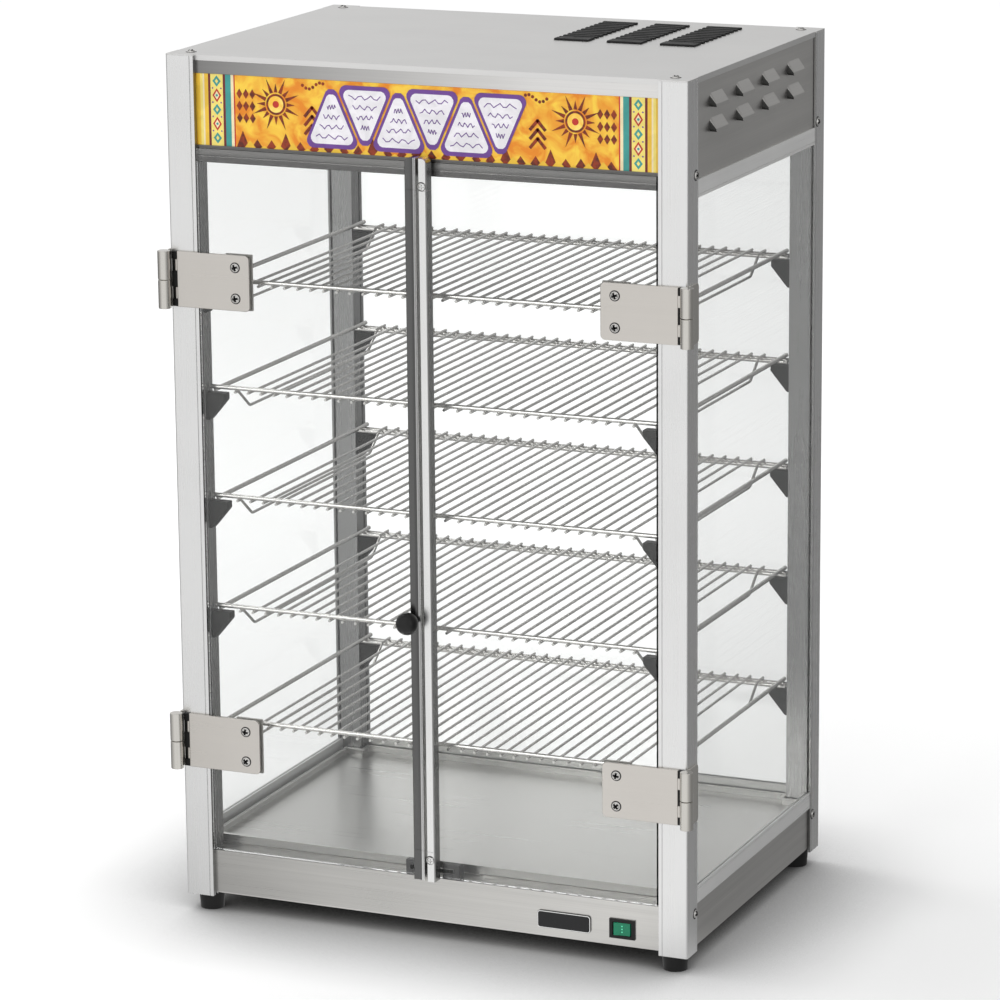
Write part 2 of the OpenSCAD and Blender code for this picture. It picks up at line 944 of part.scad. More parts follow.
module fixed_leaf_outline() {
  half = barrel_h / 2;
  r = 4;
  translate([0.1, -half])
    square([leaf_back - r - 0.1, barrel_h]);
  translate([leaf_back - 2 * r, r - half])
    square([2 * r, barrel_h - 2 * r]);
  for (s = [-1, 1])
    translate([leaf_back - r, s * (half - r)])
      circle(r = r);
}

module fixed_leaf() {
  low = -barrel_h / 2;
  difference() {
    union() {
      bar_z([axis_x, axis_y, low], barrel_r, barrel_h / 2 - knuckle_gap);
      block([axis_x - 0.1, 0], [axis_y, 1], [low, -knuckle_gap]);
      run_x(axis_x - 0.1, 0)
        fixed_leaf_outline();
    }
    bar_z([axis_x, axis_y, low + 1.5], pin_r, barrel_h);
  }
}

module hinge_fixed_leaves() {
  in_frame()
    color(nickel)
      hinge_places() {
        fixed_leaf();
        other_side() fixed_leaf();
      }
}

module hinge_pin() {
  bar_z([axis_x, axis_y, -barrel_h / 2 + 1.5], pin_r, barrel_h - 4.5);
}

module hinge_pins() {
  in_frame()
    color(steel)
      hinge_places() {
        hinge_pin();
        other_side() hinge_pin();
      }
}

// A door leaf: a plate with rounded free corners, on necks to its knuckle.
module door_leaf() {
  corner_r = 4;
  y = [door_y0 - plate_t, door_y0];
  half = hinge_plate_h / 2;
  screw_x = plate_x1 - hinge_screw_dx;
  difference() {
    union() {
      translate([0, y[1], 0])
        rotate([90, 0, 0])
          linear_extrude(plate_t) {
            translate([plate_x0, -half])
              square([plate_x1 - corner_r - plate_x0, hinge_plate_h]);
            translate([plate_x1 - 2 * corner_r, -half + corner_r])
              square([2 * corner_r, hinge_plate_h - 2 * corner_r]);
            for (s = [-1, 1])
              translate([plate_x1 - corner_r, s * (half - corner_r)])
                circle(r = corner_r);
          }
      bar_z([axis_x, axis_y, knuckle_gap], barrel_r, barrel_h / 2 - knuckle_gap);
      block([axis_x, plate_x0 + 1], y, [half - 6, half]);
      block([axis_x, plate_x0 + 1], y, [knuckle_gap, 7.5]);
      block([plate_x0 - 2.2, plate_x0 + 1], y, [-7.5, knuckle_gap]);
      block([plate_x0 - 2.2, plate_x0 + 1], y, [-half, -half + 6]);
    }
    bar_z([axis_x, axis_y, -1], pin_r + pin_fit, barrel_h / 2 - 1);
    for (z = [-hinge_screw_dz, hinge_screw_dz])
      bar_y([screw_x, y[0] - 1, z], screw_r + hole_fit, plate_t + 2);
  }
}

module door_hinge_leaves_left() {
  in_frame()
    color(nickel)
      hinge_places() door_leaf();
}
module door_hinge_leaves_right() {
  in_frame()
    color(nickel)
      other_side()
        hinge_places() door_leaf();
}

// Clamp plates behind the door panes, and the screws that go through the glass
// into them, two to each hinge plate.
clamp_t = 3;
clamp_x = plate_x1 - hinge_screw_dx;

module clamp_plate() {
  half = hinge_plate_h / 2;
  difference() {
    block([clamp_x - 12, plate_x1], [door_y1, door_y1 + clamp_t], [-half, half]);
    for (z = [-hinge_screw_dz, hinge_screw_dz])
      bar_y([clamp_x, door_y1 - 1, z], screw_r + hole_fit, clamp_t + 2);
  }
}

module clamp_screws() {
  for (z = [-hinge_screw_dz, hinge_screw_dz])
    translate([clamp_x, door_y0 - plate_t, z])
      rotate([90, 0, 0])
        pan_screw(plate_t + glass_t + clamp_t);
}

module door_clamp_plates_left() {
  in_frame()
    color(steel)
      hinge_places() clamp_plate();
}
module door_clamp_plates_right() {
  in_frame()
    color(steel)
      other_side()
        hinge_places() clamp_plate();
}

module door_screws_left() {
  in_frame()
    color(steel)
      hinge_places() clamp_screws();
}
module door_screws_right() {
  in_frame()
    color(steel)
      other_side()
        hinge_places() clamp_screws();
}

module door_pane(pull) {
  color([0.85, 0.93, 0.92, 0.3])
    difference() {
      block([pane_x0, pane_x1(pull)], [door_y0, door_y1], [door_z0, door_z1]);
      for (h = [hinge_low_z, hinge_high_z], z = [-hinge_screw_dz, hinge_screw_dz])
        bar_y([clamp_x, door_y0 - 1, h + z], screw_r + hole_fit, glass_t + 2);
    }
}

module door_glass_left() {
  in_frame() door_pane(true);
}
module door_glass_right() {
  in_frame() other_side() door_pane(false);
}

// Meeting stile: an aluminium bar rebated for the glass, with end pieces. The
// left one has a hollow finger pull beside a ridge.
module stile_outline(pull) {
  x0 = stile_x0(pull);
  y0 = door_y0 - stile_out;
  front = pull ? y0 + pull_in : y0;
  ridge_x = pull ? stile_x1 - ridge_w : x0 + 2;
  groove_x = pane_x1(pull) + slip;
  pull_mid = (x0 + ridge_x) / 2;
  pull_r = stile_w * 1.3;
  edge = 1;
  difference() {
    polygon([
      [x0, door_y0], [x0, front + edge], [x0 + edge, front], [ridge_x, front], [ridge_x + 0.6, y0],
      [stile_x1 - edge, y0], [stile_x1, y0 + edge], [stile_x1, door_y1], [groove_x, door_y1], [groove_x, door_y0]
    ]);
    if (pull)
      translate([pull_mid, front + 1 - pull_r])
        circle(r = pull_r);
  }
}

module door_stile(pull) {
  color(aluminium)
    difference() {
      translate([0, 0, stile_z0 + stile_end_h])
        linear_extrude(stile_z1 - stile_z0 - 2 * stile_end_h)
          stile_outline(pull);
      children();
    }
}

// The knob stays left of the right stile, so that either door can open first.
knob_x = mid_x + stile_gap / 2 - 0.6 - knob_r;
knob_neck_r = 2.7;
knob_pin_r = 1.7;

module door_stile_left() {
  in_frame()
    door_stile(true)
      bar_y([knob_x, door_y0 - stile_out - 1, knob_z], knob_pin_r + hole_fit, 10.5);
}
module door_stile_right() {
  in_frame() other_side() door_stile(false);
}

// Stile end pieces: the upper one has a rounded outer corner and the lower one
// a strike tab that meets the magnetic catch. The right door's have a screw.
catch_in = 10;
catch_w = 17;
catch_h = 15;

module strike_tab() {
  block([mid_x - catch_in - 12, stile_x1 - 1], [door_y1 - 0.2, door_y1 + 1.5], [base_h + 7, base_h + 11]);
}

module stile_end(z0, pull) {
  top = z0 > post_h / 2;
  r = 5;
  x0 = stile_x0(pull);
  z1 = z0 + stile_end_h;
  screw_z = top ? z0 + 4 : z0 + 21;
  intersection() {
    translate([0, 0, z0 + (top ? 0.2 : 0)])
      linear_extrude(stile_end_h - 0.2)
        stile_outline(pull);
    translate([0, door_y1 + 1, 0])
      rotate([90, 0, 0])
        linear_extrude(stile_out + glass_t + 5) {
          translate([x0 + (top ? r : 0), z0])
            square([stile_x1 - x0 - (top ? r : 0) + 1, stile_end_h]);
          translate([x0 - 1, z0])
            square([r + 2, stile_end_h - (top ? r : 0)]);
          translate([x0 + r, z1 - r])
            circle(r = r);
        }
  }
  if (!pull)
    translate([x0 + 3.6, door_y0 - stile_out, screw_z])
      rotate([90, 0, 0])
        intersection() {
          pan_screw(0);
          cylinder(r = 3.2, h = 6);
        }
}

module stile_ends(pull) {
  color(aluminium) {
    difference() {
      union() {
        stile_end(stile_z0, pull);
        strike_tab();
      }
      block([pane_x0, pane_x1(pull) + slip], [door_y0 - 0.01, door_y1], [stile_z0 - 1, stile_z0 + stile_end_h + 1]);
    }
    stile_end(stile_z1 - stile_end_h, pull);
  }
}

module door_stile_ends_left() {
  in_frame() stile_ends(true);
}
module door_stile_ends_right() {
  in_frame() other_side() stile_ends(false);
}

// Door knob: a black ball on a short neck that stands in the finger pull.
module door_knob() {
  face = door_y0 - stile_out;
  neck_in = pull_in + 0.3;
  in_frame()
    color(black)
      translate([knob_x, face, knob_z])
        rotate([90, 0, 0]) {
          translate([0, 0, -9])
            cylinder(r = knob_pin_r, h = 9);
          translate([0, 0, -neck_in])
            cylinder(r = knob_neck_r, h = neck_in + 5);
          rotate_extrude()
            intersection() {
              translate([0, knob_out - knob_r])
                circle(r = knob_r);
              translate([0, 3])
                square([knob_r + 1, knob_out]);
            }
        }
}

// Magnetic catches on the sill, one behind the strike tab of each door.
module catch_magnets() {
  in_frame()
    color(black)
      for (far = [0, 1])
        translate([far * cab_w, 0, 0])
          mirror([far, 0, 0])
            difference() {
              block([mid_x - catch_in - catch_w, mid_x - catch_in],
                    [door_y1 + 1.8, door_y1 + 13], [base_h, base_h + catch_h]);
              translate([mid_x - catch_in - catch_w - 1, door_y1 + 13, base_h + catch_h])
                rotate([0, 90, 0])
                  cylinder(r = 4, h = catch_w + 2, $fn = 4);
            }
}

// Blank badge plate and the power switch on the base front.
module badge_plate() {
  r = 3.5;
  in_frame()
    color(black)
      translate([badge_x, panel_y, switch_z])
        rotate([90, 0, 0])
          linear_extrude(1.2) {
            square([badge_w - 2 * r, badge_h], center = true);
            square([badge_w, badge_h - 2 * r], center = true);
            for (x = [-1, 1], y = [-1, 1])
              translate([x * (badge_w / 2 - r), y * (badge_h / 2 - r)])
                circle(r = r);
          }
}

rocker_w = bezel_w - 9.5;
rocker_h = bezel_h - 6.5;
rocker_r = rocker_w / 2 + 1.15;
pivot_y = panel_y + 1.5;
pivot_r = 1.5;
pivot_half = rocker_h / 2 + 0.9;

module switch_housing() {
  half_w = bezel_w / 2;
  half_h = bezel_h / 2;
  cavity_w = rocker_r + seat;
  cavity_h = rocker_h / 2 + seat;
  in_frame()
    color(black)
      difference() {
        union() {
          block([switch_x - half_w, switch_x + half_w], [panel_y - 1.8, panel_y],
                [switch_z - half_h, switch_z + half_h]);
          block([switch_x - half_w + 2, switch_x + half_w - 2], [panel_y - 1, panel_y + 20],
                [switch_z - half_h + 1.8, switch_z + half_h - 1.8]);
        }
        block([switch_x - cavity_w, switch_x + cavity_w], [panel_y - 3, panel_y + 12],
              [switch_z - cavity_h, switch_z + cavity_h]);
        bar_z([switch_x, pivot_y, switch_z - pivot_half - slip], pivot_r + pin_fit, 2 * (pivot_half + slip));
      }
}

// Rocker: a shallow V with its right half pressed in, its ends on a circle round
// the two short pivots.
module switch_rocker() {
  half = rocker_w / 2;
  in_frame()
    color([0, 0.45, 0.28]) {
      translate([switch_x, pivot_y, switch_z - rocker_h / 2])
        linear_extrude(rocker_h)
          intersection() {
            polygon([[-half, -4.4], [0, -3], [half, -2.6], [half - 0.6, 2.5], [0, 5.5], [-half + 0.6, 2.5]]);
            circle(r = rocker_r);
          }
      bar_z([switch_x, pivot_y, switch_z - pivot_half], pivot_r, 2 * pivot_half);
    }
}

// Cord gland in the rear of the base: a hexagon, a ring and an open throat.
module cord_gland() {
  y_out = cab_d - panel_y;
  in_frame()
    color(black)
      difference() {
        union() {
          bar_y([gland_x, y_out - 8, gland_z], gland_r, 12);
          translate([gland_x, y_out, gland_z])
            rotate([-90, 0, 0])
              cylinder(r = gland_r + 4, h = 5, $fn = 6);
          bar_y([gland_x, y_out + 4, gland_z], gland_r + 2, rear_out - 4 + front_lip + slip);
        }
        bar_y([gland_x, y_out - 9, gland_z], 4, 40);
      }
}

// Circulation fan on the ceiling pan: square frame with a hub on three spokes.
module fan_housing() {
  z0 = ceiling_z + sheet_t;
  half = fan_size / 2;
  in_frame()
    color(black)
      translate([fan_x, fan_y, z0]) {
        difference() {
          block([-half, half], [-half, half], [0, fan_h]);
          bar_z([0, 0, -1], fan_hole_r, fan_h + 2);
        }
        translate([0, 0, fan_h - 4]) {
          cylinder(r = 20, h = 3);
          for (a = [30, 150, 270])
            rotate([0, 0, a])
              block([18, fan_hole_r + 1], [-3, 3], [0, 3]);
        }
        bar_z([0, 0, 5], fan_shaft_r, fan_h - 7);
      }
}

module fan_rotor() {
  z0 = ceiling_z + sheet_t + 3;
  rotor_h = fan_h - 8.5;
  blades = 7;
  in_frame()
    color([0.15, 0.15, 0.15])
      translate([fan_x, fan_y, z0])
        difference() {
          union() {
            cylinder(r = 19, h = rotor_h);
            for (i = [0:blades - 1])
              rotate([0, 0, i * 360 / blades])
                translate([17, 0, rotor_h / 2])
                  rotate([38, 0, 0])
                    translate([0, -10, -0.8])
                      cube([36, 20, 1.6]);
          }
          translate([0, 0, -1])
            cylinder(r = fan_shaft_r + pin_fit, h = fan_h);
        }
}

// Hairpin heater: a bent tube on two plates that stand on the ceiling pan.
heater_y = 110;
heater_x0 = 60;
heater_z = ceiling_z + 30;
heater_half = 22;
heater_r = 4;

module heater_element() {
  run = cab_w - 2 * heater_x0 - heater_half;
  in_frame()
    color(dark_steel) {
      for (s = [-1, 1])
        bar_x([heater_x0, heater_y + s * heater_half, heater_z], heater_r, run);
      translate([heater_x0 + run, heater_y, heater_z])
        rotate([0, 0, -90])
          rotate_extrude(angle = 180)
            translate([heater_half, 0])
              circle(r = heater_r);
    }
}

module heater_plate(x) {
  difference() {
    block([x, x + 1.5], [heater_y - heater_half - 9, heater_y + heater_half + 9],
          [ceiling_z + sheet_t, heater_z + 9]);
    for (s = [-1, 1])
      bar_x([x - 1, heater_y + s * heater_half, heater_z], heater_r + hole_fit, 4);
  }
  block([x, x + 12], [heater_y - 8, heater_y + 8], [ceiling_z + sheet_t, ceiling_z + 2 * sheet_t]);
}

module heater_plates() {
  in_frame()
    color(steel) {
      heater_plate(heater_x0 + 20);
      heater_plate(cab_w - heater_x0 - 70);
    }
}

// Sign lamp: a tube just behind the sign, its end pins in two holders.
lamp_y = 40;
lamp_z = (sign_z0 + sign_z1) / 2;
lamp_x0 = 50;
holder_t = 8;

module sign_lamp() {
  start = lamp_x0 + holder_t + seat;
  in_frame()
    color([0.95, 0.95, 0.92]) {
      bar_x([start, lamp_y, lamp_z], 8, cab_w - 2 * start);
      bar_x([start - 5, lamp_y, lamp_z], 2, cab_w - 2 * start + 10);
    }
}

module lamp_holders() {
  in_frame()
    color([0.9, 0.9, 0.88])
      for (x = [lamp_x0, cab_w - lamp_x0 - holder_t])
        difference() {
          block([x, x + holder_t], [lamp_y - 12, lamp_y + 12], [ceiling_z + sheet_t, lamp_z + 12]);
          bar_x([x - 1, lamp_y, lamp_z], 2 + hole_fit, holder_t + 2);
        }
}

post_front_left();
post_front_right();
post_rear_left();
post_rear_right();
top_cover();
top_vents();
header_top_rail();
header_bottom_rail();
sign_panel();
header_side_left();
header_side_right();
header_rear_panel();
ceiling_pan();
side_rails();
rear_rails();
side_glass_left();
side_glass_right();
rear_glass();
base_front_panel();
base_side_left();
base_side_right();
base_rear_panel();
base_bottom_pan();
base_deck();
crumb_tray();
feet();
foot_screws();
shelf_brackets();
shelf_1();
shelf_2();
shelf_3();
shelf_4();
shelf_5();
frame_screws();
hinge_fixed_leaves();
hinge_pins();
catch_magnets();
door_glass_left();
door_stile_left();
door_stile_ends_left();
door_hinge_leaves_left();
door_screws_left();
door_clamp_plates_left();
door_knob();
door_glass_right();
door_stile_right();
door_stile_ends_right();
door_hinge_leaves_right();
door_screws_right();
door_clamp_plates_right();
badge_plate();
switch_housing();
switch_rocker();
cord_gland();
fan_housing();
fan_rotor();
heater_element();
heater_plates();
sign_lamp();
lamp_holders();
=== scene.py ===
import math

import bmesh
import bpy
from mathutils import Matrix, Vector


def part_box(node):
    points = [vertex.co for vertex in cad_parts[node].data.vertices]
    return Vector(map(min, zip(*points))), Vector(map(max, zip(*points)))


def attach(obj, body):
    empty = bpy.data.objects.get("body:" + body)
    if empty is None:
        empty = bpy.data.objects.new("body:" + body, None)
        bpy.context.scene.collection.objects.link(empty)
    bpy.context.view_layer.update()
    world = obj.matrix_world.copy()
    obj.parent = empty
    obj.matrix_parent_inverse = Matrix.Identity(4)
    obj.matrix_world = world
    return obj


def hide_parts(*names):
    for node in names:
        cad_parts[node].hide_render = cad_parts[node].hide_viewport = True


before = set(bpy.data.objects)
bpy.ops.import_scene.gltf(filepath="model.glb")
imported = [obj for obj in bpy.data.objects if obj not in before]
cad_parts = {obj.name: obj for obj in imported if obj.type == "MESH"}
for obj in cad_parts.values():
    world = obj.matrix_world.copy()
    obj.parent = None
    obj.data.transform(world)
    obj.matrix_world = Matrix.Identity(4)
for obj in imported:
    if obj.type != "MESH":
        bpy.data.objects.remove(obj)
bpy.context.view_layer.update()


# Camera
# A long lens looks at the cabinet from the right of its doors and from a little above the top.
def new_object(name, data):
    """Puts a mesh, a lamp or a camera in the scene."""
    made = bpy.data.objects.new(name, data)
    bpy.context.scene.collection.objects.link(made)
    return made


lens_mm, sensor_mm = 162.6, 36
camera_place = Vector((1.642, -3.790, 1.395))
camera_turn = math.radians(23.41)
camera_rise = math.radians(13.75)
camera_roll = math.radians(-0.53)

back = Vector((
    math.sin(camera_turn) * math.cos(camera_rise),
    -math.cos(camera_turn) * math.cos(camera_rise),
    math.sin(camera_rise),
))
level = Vector((math.cos(camera_turn), math.sin(camera_turn), 0))
upward = back.cross(level)
right = level * math.cos(camera_roll) + upward * math.sin(camera_roll)
above = upward * math.cos(camera_roll) - level * math.sin(camera_roll)
camera_data = bpy.data.cameras.new("camera")
camera_data.lens = lens_mm
camera_data.sensor_width = sensor_mm
camera_data.dof.use_dof = False
camera = new_object("camera", camera_data)
turned = Matrix((right, above, back)).transposed().to_4x4()
camera.matrix_world = Matrix.Translation(camera_place) @ turned
bpy.context.scene.camera = camera
bpy.context.scene.view_settings.view_transform = "Standard"


# Studio
# A pale floor without an end, a soft lamp high at the left and a large one in front.
# What metal mirrors is brighter in front and on the left than behind on the right.
def feed(tree, node, order=(), **inputs):
    """Gives a node its inputs, in their order or by name. A socket is linked, a value is set."""
    named = [(node.inputs[name.replace("_", " ")], value) for name, value in inputs.items()]
    for socket, value in [*zip(node.inputs, order), *named]:
        if isinstance(value, bpy.types.NodeSocket):
            tree.links.new(value, socket)
        elif value is not None:
            socket.default_value = value


def add(tree, kind, settings=None, out=0, order=(), **inputs):
    """Adds a node, gives it its inputs and returns one of its outputs."""
    made = tree.nodes.new(kind)
    for name, value in (settings or {}).items():
        setattr(made, name, value)
    feed(tree, made, order, **inputs)
    return made.outputs[out] if made.outputs else None


def math_node(tree, operation, *values):
    """A sum, product or other operation on values."""
    return add(tree, "ShaderNodeMath", {"operation": operation}, order=values)


def spread(tree, value, start, end, low, high):
    """Takes a value from between start and end to between low and high."""
    return add(tree, "ShaderNodeMapRange", order=(value, start, end, low, high))


def bearing_ramp(tree, direction, stops):
    """Brightness by the compass bearing seen from the cabinet, as (degrees, brightness) stops."""
    angle = add(tree, "ShaderNodeTexGradient", {"gradient_type": "RADIAL"}, "Fac",
                Vector=direction)
    ramp = add(tree, "ShaderNodeValToRGB", Fac=angle)
    elements = ramp.node.color_ramp.elements
    for number, (degrees, brightness) in enumerate(stops):
        place = degrees / 360 + 0.5
        element = elements[0] if number == 0 else elements.new(place)
        element.position = place
        element.color = (brightness, brightness, brightness, 1)
    elements.remove(elements[-1])
    return ramp


def straight_view(tree):
    """Two switches: what the camera sees, also through panes, and what something mirrors."""
    path = add(tree, "ShaderNodeLightPath").node.outputs
    looked = math_node(tree, "MAXIMUM", path["Is Camera Ray"], path["Is Transmission Ray"])
    unmirrored = math_node(tree, "LESS_THAN", path["Glossy Depth"], 0.5)
    return math_node(tree, "MULTIPLY", looked, unmirrored), path["Is Glossy Ray"]


world = bpy.data.worlds.new("studio")
world.use_nodes = True
bpy.context.scene.world = world
air = world.node_tree
air.nodes.clear()
air_light = 0.66
white = (1, 1, 1, 1)
around = add(air, "ShaderNodeTexCoord", out="Generated")
mirrored_air = bearing_ramp(air, around, [
    (-180, 0.60), (-150, 0.85), (-90, 1.0), (-45, 0.7), (-34, 0.7), (-24, 1.6), (-14, 0.5),
    (-5, 0.35), (50, 0.28), (95, 0.55), (125, 0.86), (170, 0.6),
])
seen, in_mirror = straight_view(air)
plain_air = add(air, "ShaderNodeBackground", Color=white, Strength=air_light)
white_air = add(air, "ShaderNodeBackground", Color=white, Strength=1.0)
glossy_air = add(air, "ShaderNodeBackground", Color=mirrored_air, Strength=1.0)
lit_air = add(air, "ShaderNodeMixShader", order=(in_mirror, plain_air, glossy_air))
all_air = add(air, "ShaderNodeMixShader", order=(seen, lit_air, white_air))
add(air, "ShaderNodeOutputWorld", Surface=all_air)

floor_radius = 9.0
floor_white = 0.9
shadow_reach = 0.16
lift_from, lift_to = 0.5, 1.6
floor_lift_near, floor_lift_far = 0.24, 0.42
floor_mesh = bpy.data.meshes.new("floor")
floor_shape = bmesh.new()
bmesh.ops.create_circle(floor_shape, cap_ends=True, radius=floor_radius, segments=96)
floor_shape.to_mesh(floor_mesh)
floor_shape.free()
floor = new_object("floor", floor_mesh)
floor_material = bpy.data.materials.new("studio_floor")
floor_material.use_nodes = True
ground = floor_material.node_tree
ground.nodes.clear()
ground_place = add(ground, "ShaderNodeTexCoord", out="Object")
mirrored_ground = bearing_ramp(ground, ground_place, [
    (-180, 0.30), (-150, 0.55), (-120, 0.92), (-60, 0.95), (-30, 0.5), (-5, 0.28), (60, 0.25),
    (110, 0.25), (150, 0.22),
])
seen, in_mirror = straight_view(ground)
mirror_only = math_node(ground, "MULTIPLY", in_mirror, math_node(ground, "SUBTRACT", 1.0, seen))
# Painted contact shadow: ambient occlusion darkens the floor's colour and its lift near the
# cabinet, and the lift is also lower near the cabinet than far off.
shadow_ao = add(ground, "ShaderNodeAmbientOcclusion", {"samples": 8}, "AO", Distance=shadow_reach)
paint = add(ground, "ShaderNodeBsdfDiffuse", Color=spread(ground, shadow_ao, 0, 1, 0, floor_white))
away = add(ground, "ShaderNodeVectorMath", {"operation": "LENGTH"}, "Value", (ground_place,))
floor_lift = spread(ground, away, lift_from, lift_to, floor_lift_near, floor_lift_far)
floor_lift = math_node(ground, "MULTIPLY", floor_lift, math_node(ground, "POWER", shadow_ao, 2.0))
lift = add(ground, "ShaderNodeEmission", Strength=math_node(ground, "MULTIPLY", seen, floor_lift))
lifted = add(ground, "ShaderNodeAddShader", order=(paint, lift))
mirrored = add(ground, "ShaderNodeEmission", Color=mirrored_ground, Strength=1.0)
floor_look = add(ground, "ShaderNodeMixShader", order=(mirror_only, lifted, mirrored))
add(ground, "ShaderNodeOutputMaterial", Surface=floor_look)
floor_mesh.materials.append(floor_material)


def soft_lamp(name, place, width, power):
    """A square soft box that looks at the cabinet's middle."""
    data = bpy.data.lights.new(name, "AREA")
    data.shape = "SQUARE"
    data.size = width
    data.energy = power
    lamp = new_object(name, data)
    lamp.visible_glossy = False
    aim = (lamp_target - Vector(place)).to_track_quat("-Z", "Y")
    lamp.matrix_world = Matrix.Translation(place) @ aim.to_matrix().to_4x4()


lamp_target = Vector((0, 0, 0.4))
soft_lamp("key_lamp", (-1.7, 0.3, 3.0), 1.6, 26)
soft_lamp("front_lamp", (-1.0, -3.4, 1.9), 1.8, 34)


# Corner posts
# Four lengths of one satin aluminium extrusion stand at the corners. Its grain runs up the post,
# its edges are rolled, and the grooves in it hold the panes and the panels. Painted shade darkens
# the faces that look towards the cabinet's middle, for the darker inside that they mirror.
x_axis, y_axis, z_axis = range(3)


def new_material(name):
    """A new material, its tree and its surface."""
    material = bpy.data.materials.new(name)
    material.use_nodes = True
    return material, material.node_tree, material.node_tree.nodes["Principled BSDF"]


def shaded(tree, colour, shade):
    """A colour, lighter or darker by a share."""
    return add(tree, "ShaderNodeVectorMath", {"operation": "SCALE"}, order=(colour,), Scale=shade)


def metal(name, colour, grain, roughness=0.3, streak=0.1, edge_mm=0.4, shade_fades=(), side=None,
          inner_shade=0.0, satin=0.0):
    """Rolled or brushed metal, its fine scratches along one axis, with handling marks and softened
    edges. Each fade (axis, from, to, share) is painted shade that darkens it towards one end. side
    = (direction, share) is painted shade that darkens the faces that look that way, and the inner
    share is painted shade on the faces that look towards the cabinet's middle. satin is the share
    of dull anodised skin."""
    material, tree, surface = new_material(name)
    place = add(tree, "ShaderNodeTexCoord", out="Object")
    grains = []
    for across, along, detail in ((1400.0, 9.0, 3.0), (150.0, 2.5, 2.0)):
        scale = [across] * 3
        scale[grain] = along
        drawn_out = add(tree, "ShaderNodeMapping", Vector=place, Scale=scale)
        noise = add(tree, "ShaderNodeTexNoise", Vector=drawn_out, Scale=1.0, Detail=detail)
        grains.append(math_node(tree, "MULTIPLY", noise, 0.5))
    grainy = math_node(tree, "ADD", *grains)
    marks = add(tree, "ShaderNodeTexNoise", Vector=place, Scale=11.0, Detail=4.0)
    shade = spread(tree, grainy, 0.35, 0.65, 1 - streak, 1 + streak / 2)
    shade = math_node(tree, "MULTIPLY", shade, spread(tree, marks, 0.3, 0.7, 0.965, 1.02))
    # Painted shade that darkens the colour towards one end, for each fade.
    for axis, start, end, share in shade_fades:
        apart = add(tree, "ShaderNodeSeparateXYZ", out=axis, Vector=place)
        shade = math_node(tree, "MULTIPLY", shade, spread(tree, apart, start, end, 1 - share, 1.0))
    normal = add(tree, "ShaderNodeTexCoord", out="Normal")
    # Painted shade on the faces that look one way, and on those that look towards the middle.
    painted_shade_faces = [(side[0], 0.7, side[1])] if side else []
    if inner_shade:
        inwards = add(tree, "ShaderNodeVectorMath", {"operation": "MULTIPLY"},
                      order=(place, (-1, -1, 0)))
        painted_shade_faces.append((inwards, 0.05, inner_shade))
    for direction, least, share in painted_shade_faces:
        towards = add(tree, "ShaderNodeVectorMath", {"operation": "DOT_PRODUCT"}, "Value",
                      (normal, direction))
        loss = math_node(tree, "MULTIPLY", math_node(tree, "GREATER_THAN", towards, least), share)
        shade = math_node(tree, "MULTIPLY", shade, math_node(tree, "SUBTRACT", 1.0, loss))
    rough = math_node(tree, "ADD", math_node(tree, "MULTIPLY", grainy, 0.16),
                      math_node(tree, "MULTIPLY", marks, 0.10))
    edge = add(tree, "ShaderNodeBevel", {"samples": 4}, Radius=edge_mm / 1000)
    bump = add(tree, "ShaderNodeBump", Strength=0.05, Distance=0.0001, Height=grainy, Normal=edge)
    feed(tree, surface, Base_Color=shaded(tree, colour, shade), Metallic=1.0 - satin, Normal=bump,
         Roughness=math_node(tree, "ADD", rough, roughness - 0.13))
    return material


def give(material, *nodes):
    """Puts a material on nodes of the frame."""
    for name in nodes:
        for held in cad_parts[name].material_slots:
            held.material = material


def round_edges(piece, width_mm, segments=2):
    """Rounds the folds and edges of a piece."""
    edge = piece.modifiers.new("edge", "BEVEL")
    edge.width = width_mm / 1000
    edge.segments = segments
    edge.limit_method = "ANGLE"
    edge.angle_limit = math.radians(35)
    piece.modifiers.new("normals", "WEIGHTED_NORMAL").mode = "FACE_AREA"


def soften(width_mm, *nodes):
    """Rounds the outer edges of nodes, after their flat faces are made whole."""
    for name in nodes:
        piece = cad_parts[name]
        piece.modifiers.new("weld", "WELD").merge_threshold = 1e-5
        whole = piece.modifiers.new("whole", "DECIMATE")
        whole.decimate_type = "DISSOLVE"
        whole.angle_limit = math.radians(0.5)
        round_edges(piece, width_mm)


aluminium = (0.83, 0.83, 0.825)
# Painted shade on the faces that look towards the middle.
front_post_metal = metal("post_aluminium", aluminium, z_axis, roughness=0.28, streak=0.02,
                         edge_mm=0.5, inner_shade=0.62)
rear_post_metal = metal("rear_post_aluminium", aluminium, z_axis, roughness=0.28, streak=0.03,
                        edge_mm=0.5, inner_shade=0.62)
give(front_post_metal, "post_front_left", "post_front_right")
give(rear_post_metal, "post_rear_left", "post_rear_right")


# Base
# A shallow box of folded sheet. Its front is brushed along its length, and painted shade darkens it
# towards the left and on its upward faces. The sides are a sheet of the same colour set in the
# posts' grooves, and painted shade darkens them towards the front and in a line under the rail;
# that line's shade covers all of this sheet above it, so the header's rear panel is dark all over.
# A deck closes the box under the crumb tray.
sheet_steel = (0.66, 0.65, 0.63)
# Painted shade: darker towards the left end and on the upward faces.
front_metal = metal("base_front_steel", (0.66, 0.65, 0.625), x_axis, streak=0.08, edge_mm=0.1,
                    shade_fades=[(x_axis, -0.24, 0.2, 0.3)], side=((0, 0, 1), 0.45))
# Painted shade: darker towards the front, and a painted shadow line under the rail that darkens all
# of this sheet above it.
side_metal = metal("side_steel", sheet_steel, y_axis, roughness=0.34, streak=0.12,
                   shade_fades=[(y_axis, -0.2, 0.2, 0.18), (z_axis, 0.0603, 0.0592, 0.85)])
deck_metal = metal("deck_steel", sheet_steel, x_axis, roughness=0.4)
give(front_metal, "base_front_panel")
give(side_metal, "base_side_left", "base_side_right", "base_rear_panel")
give(deck_metal, "base_bottom_pan", "base_deck")


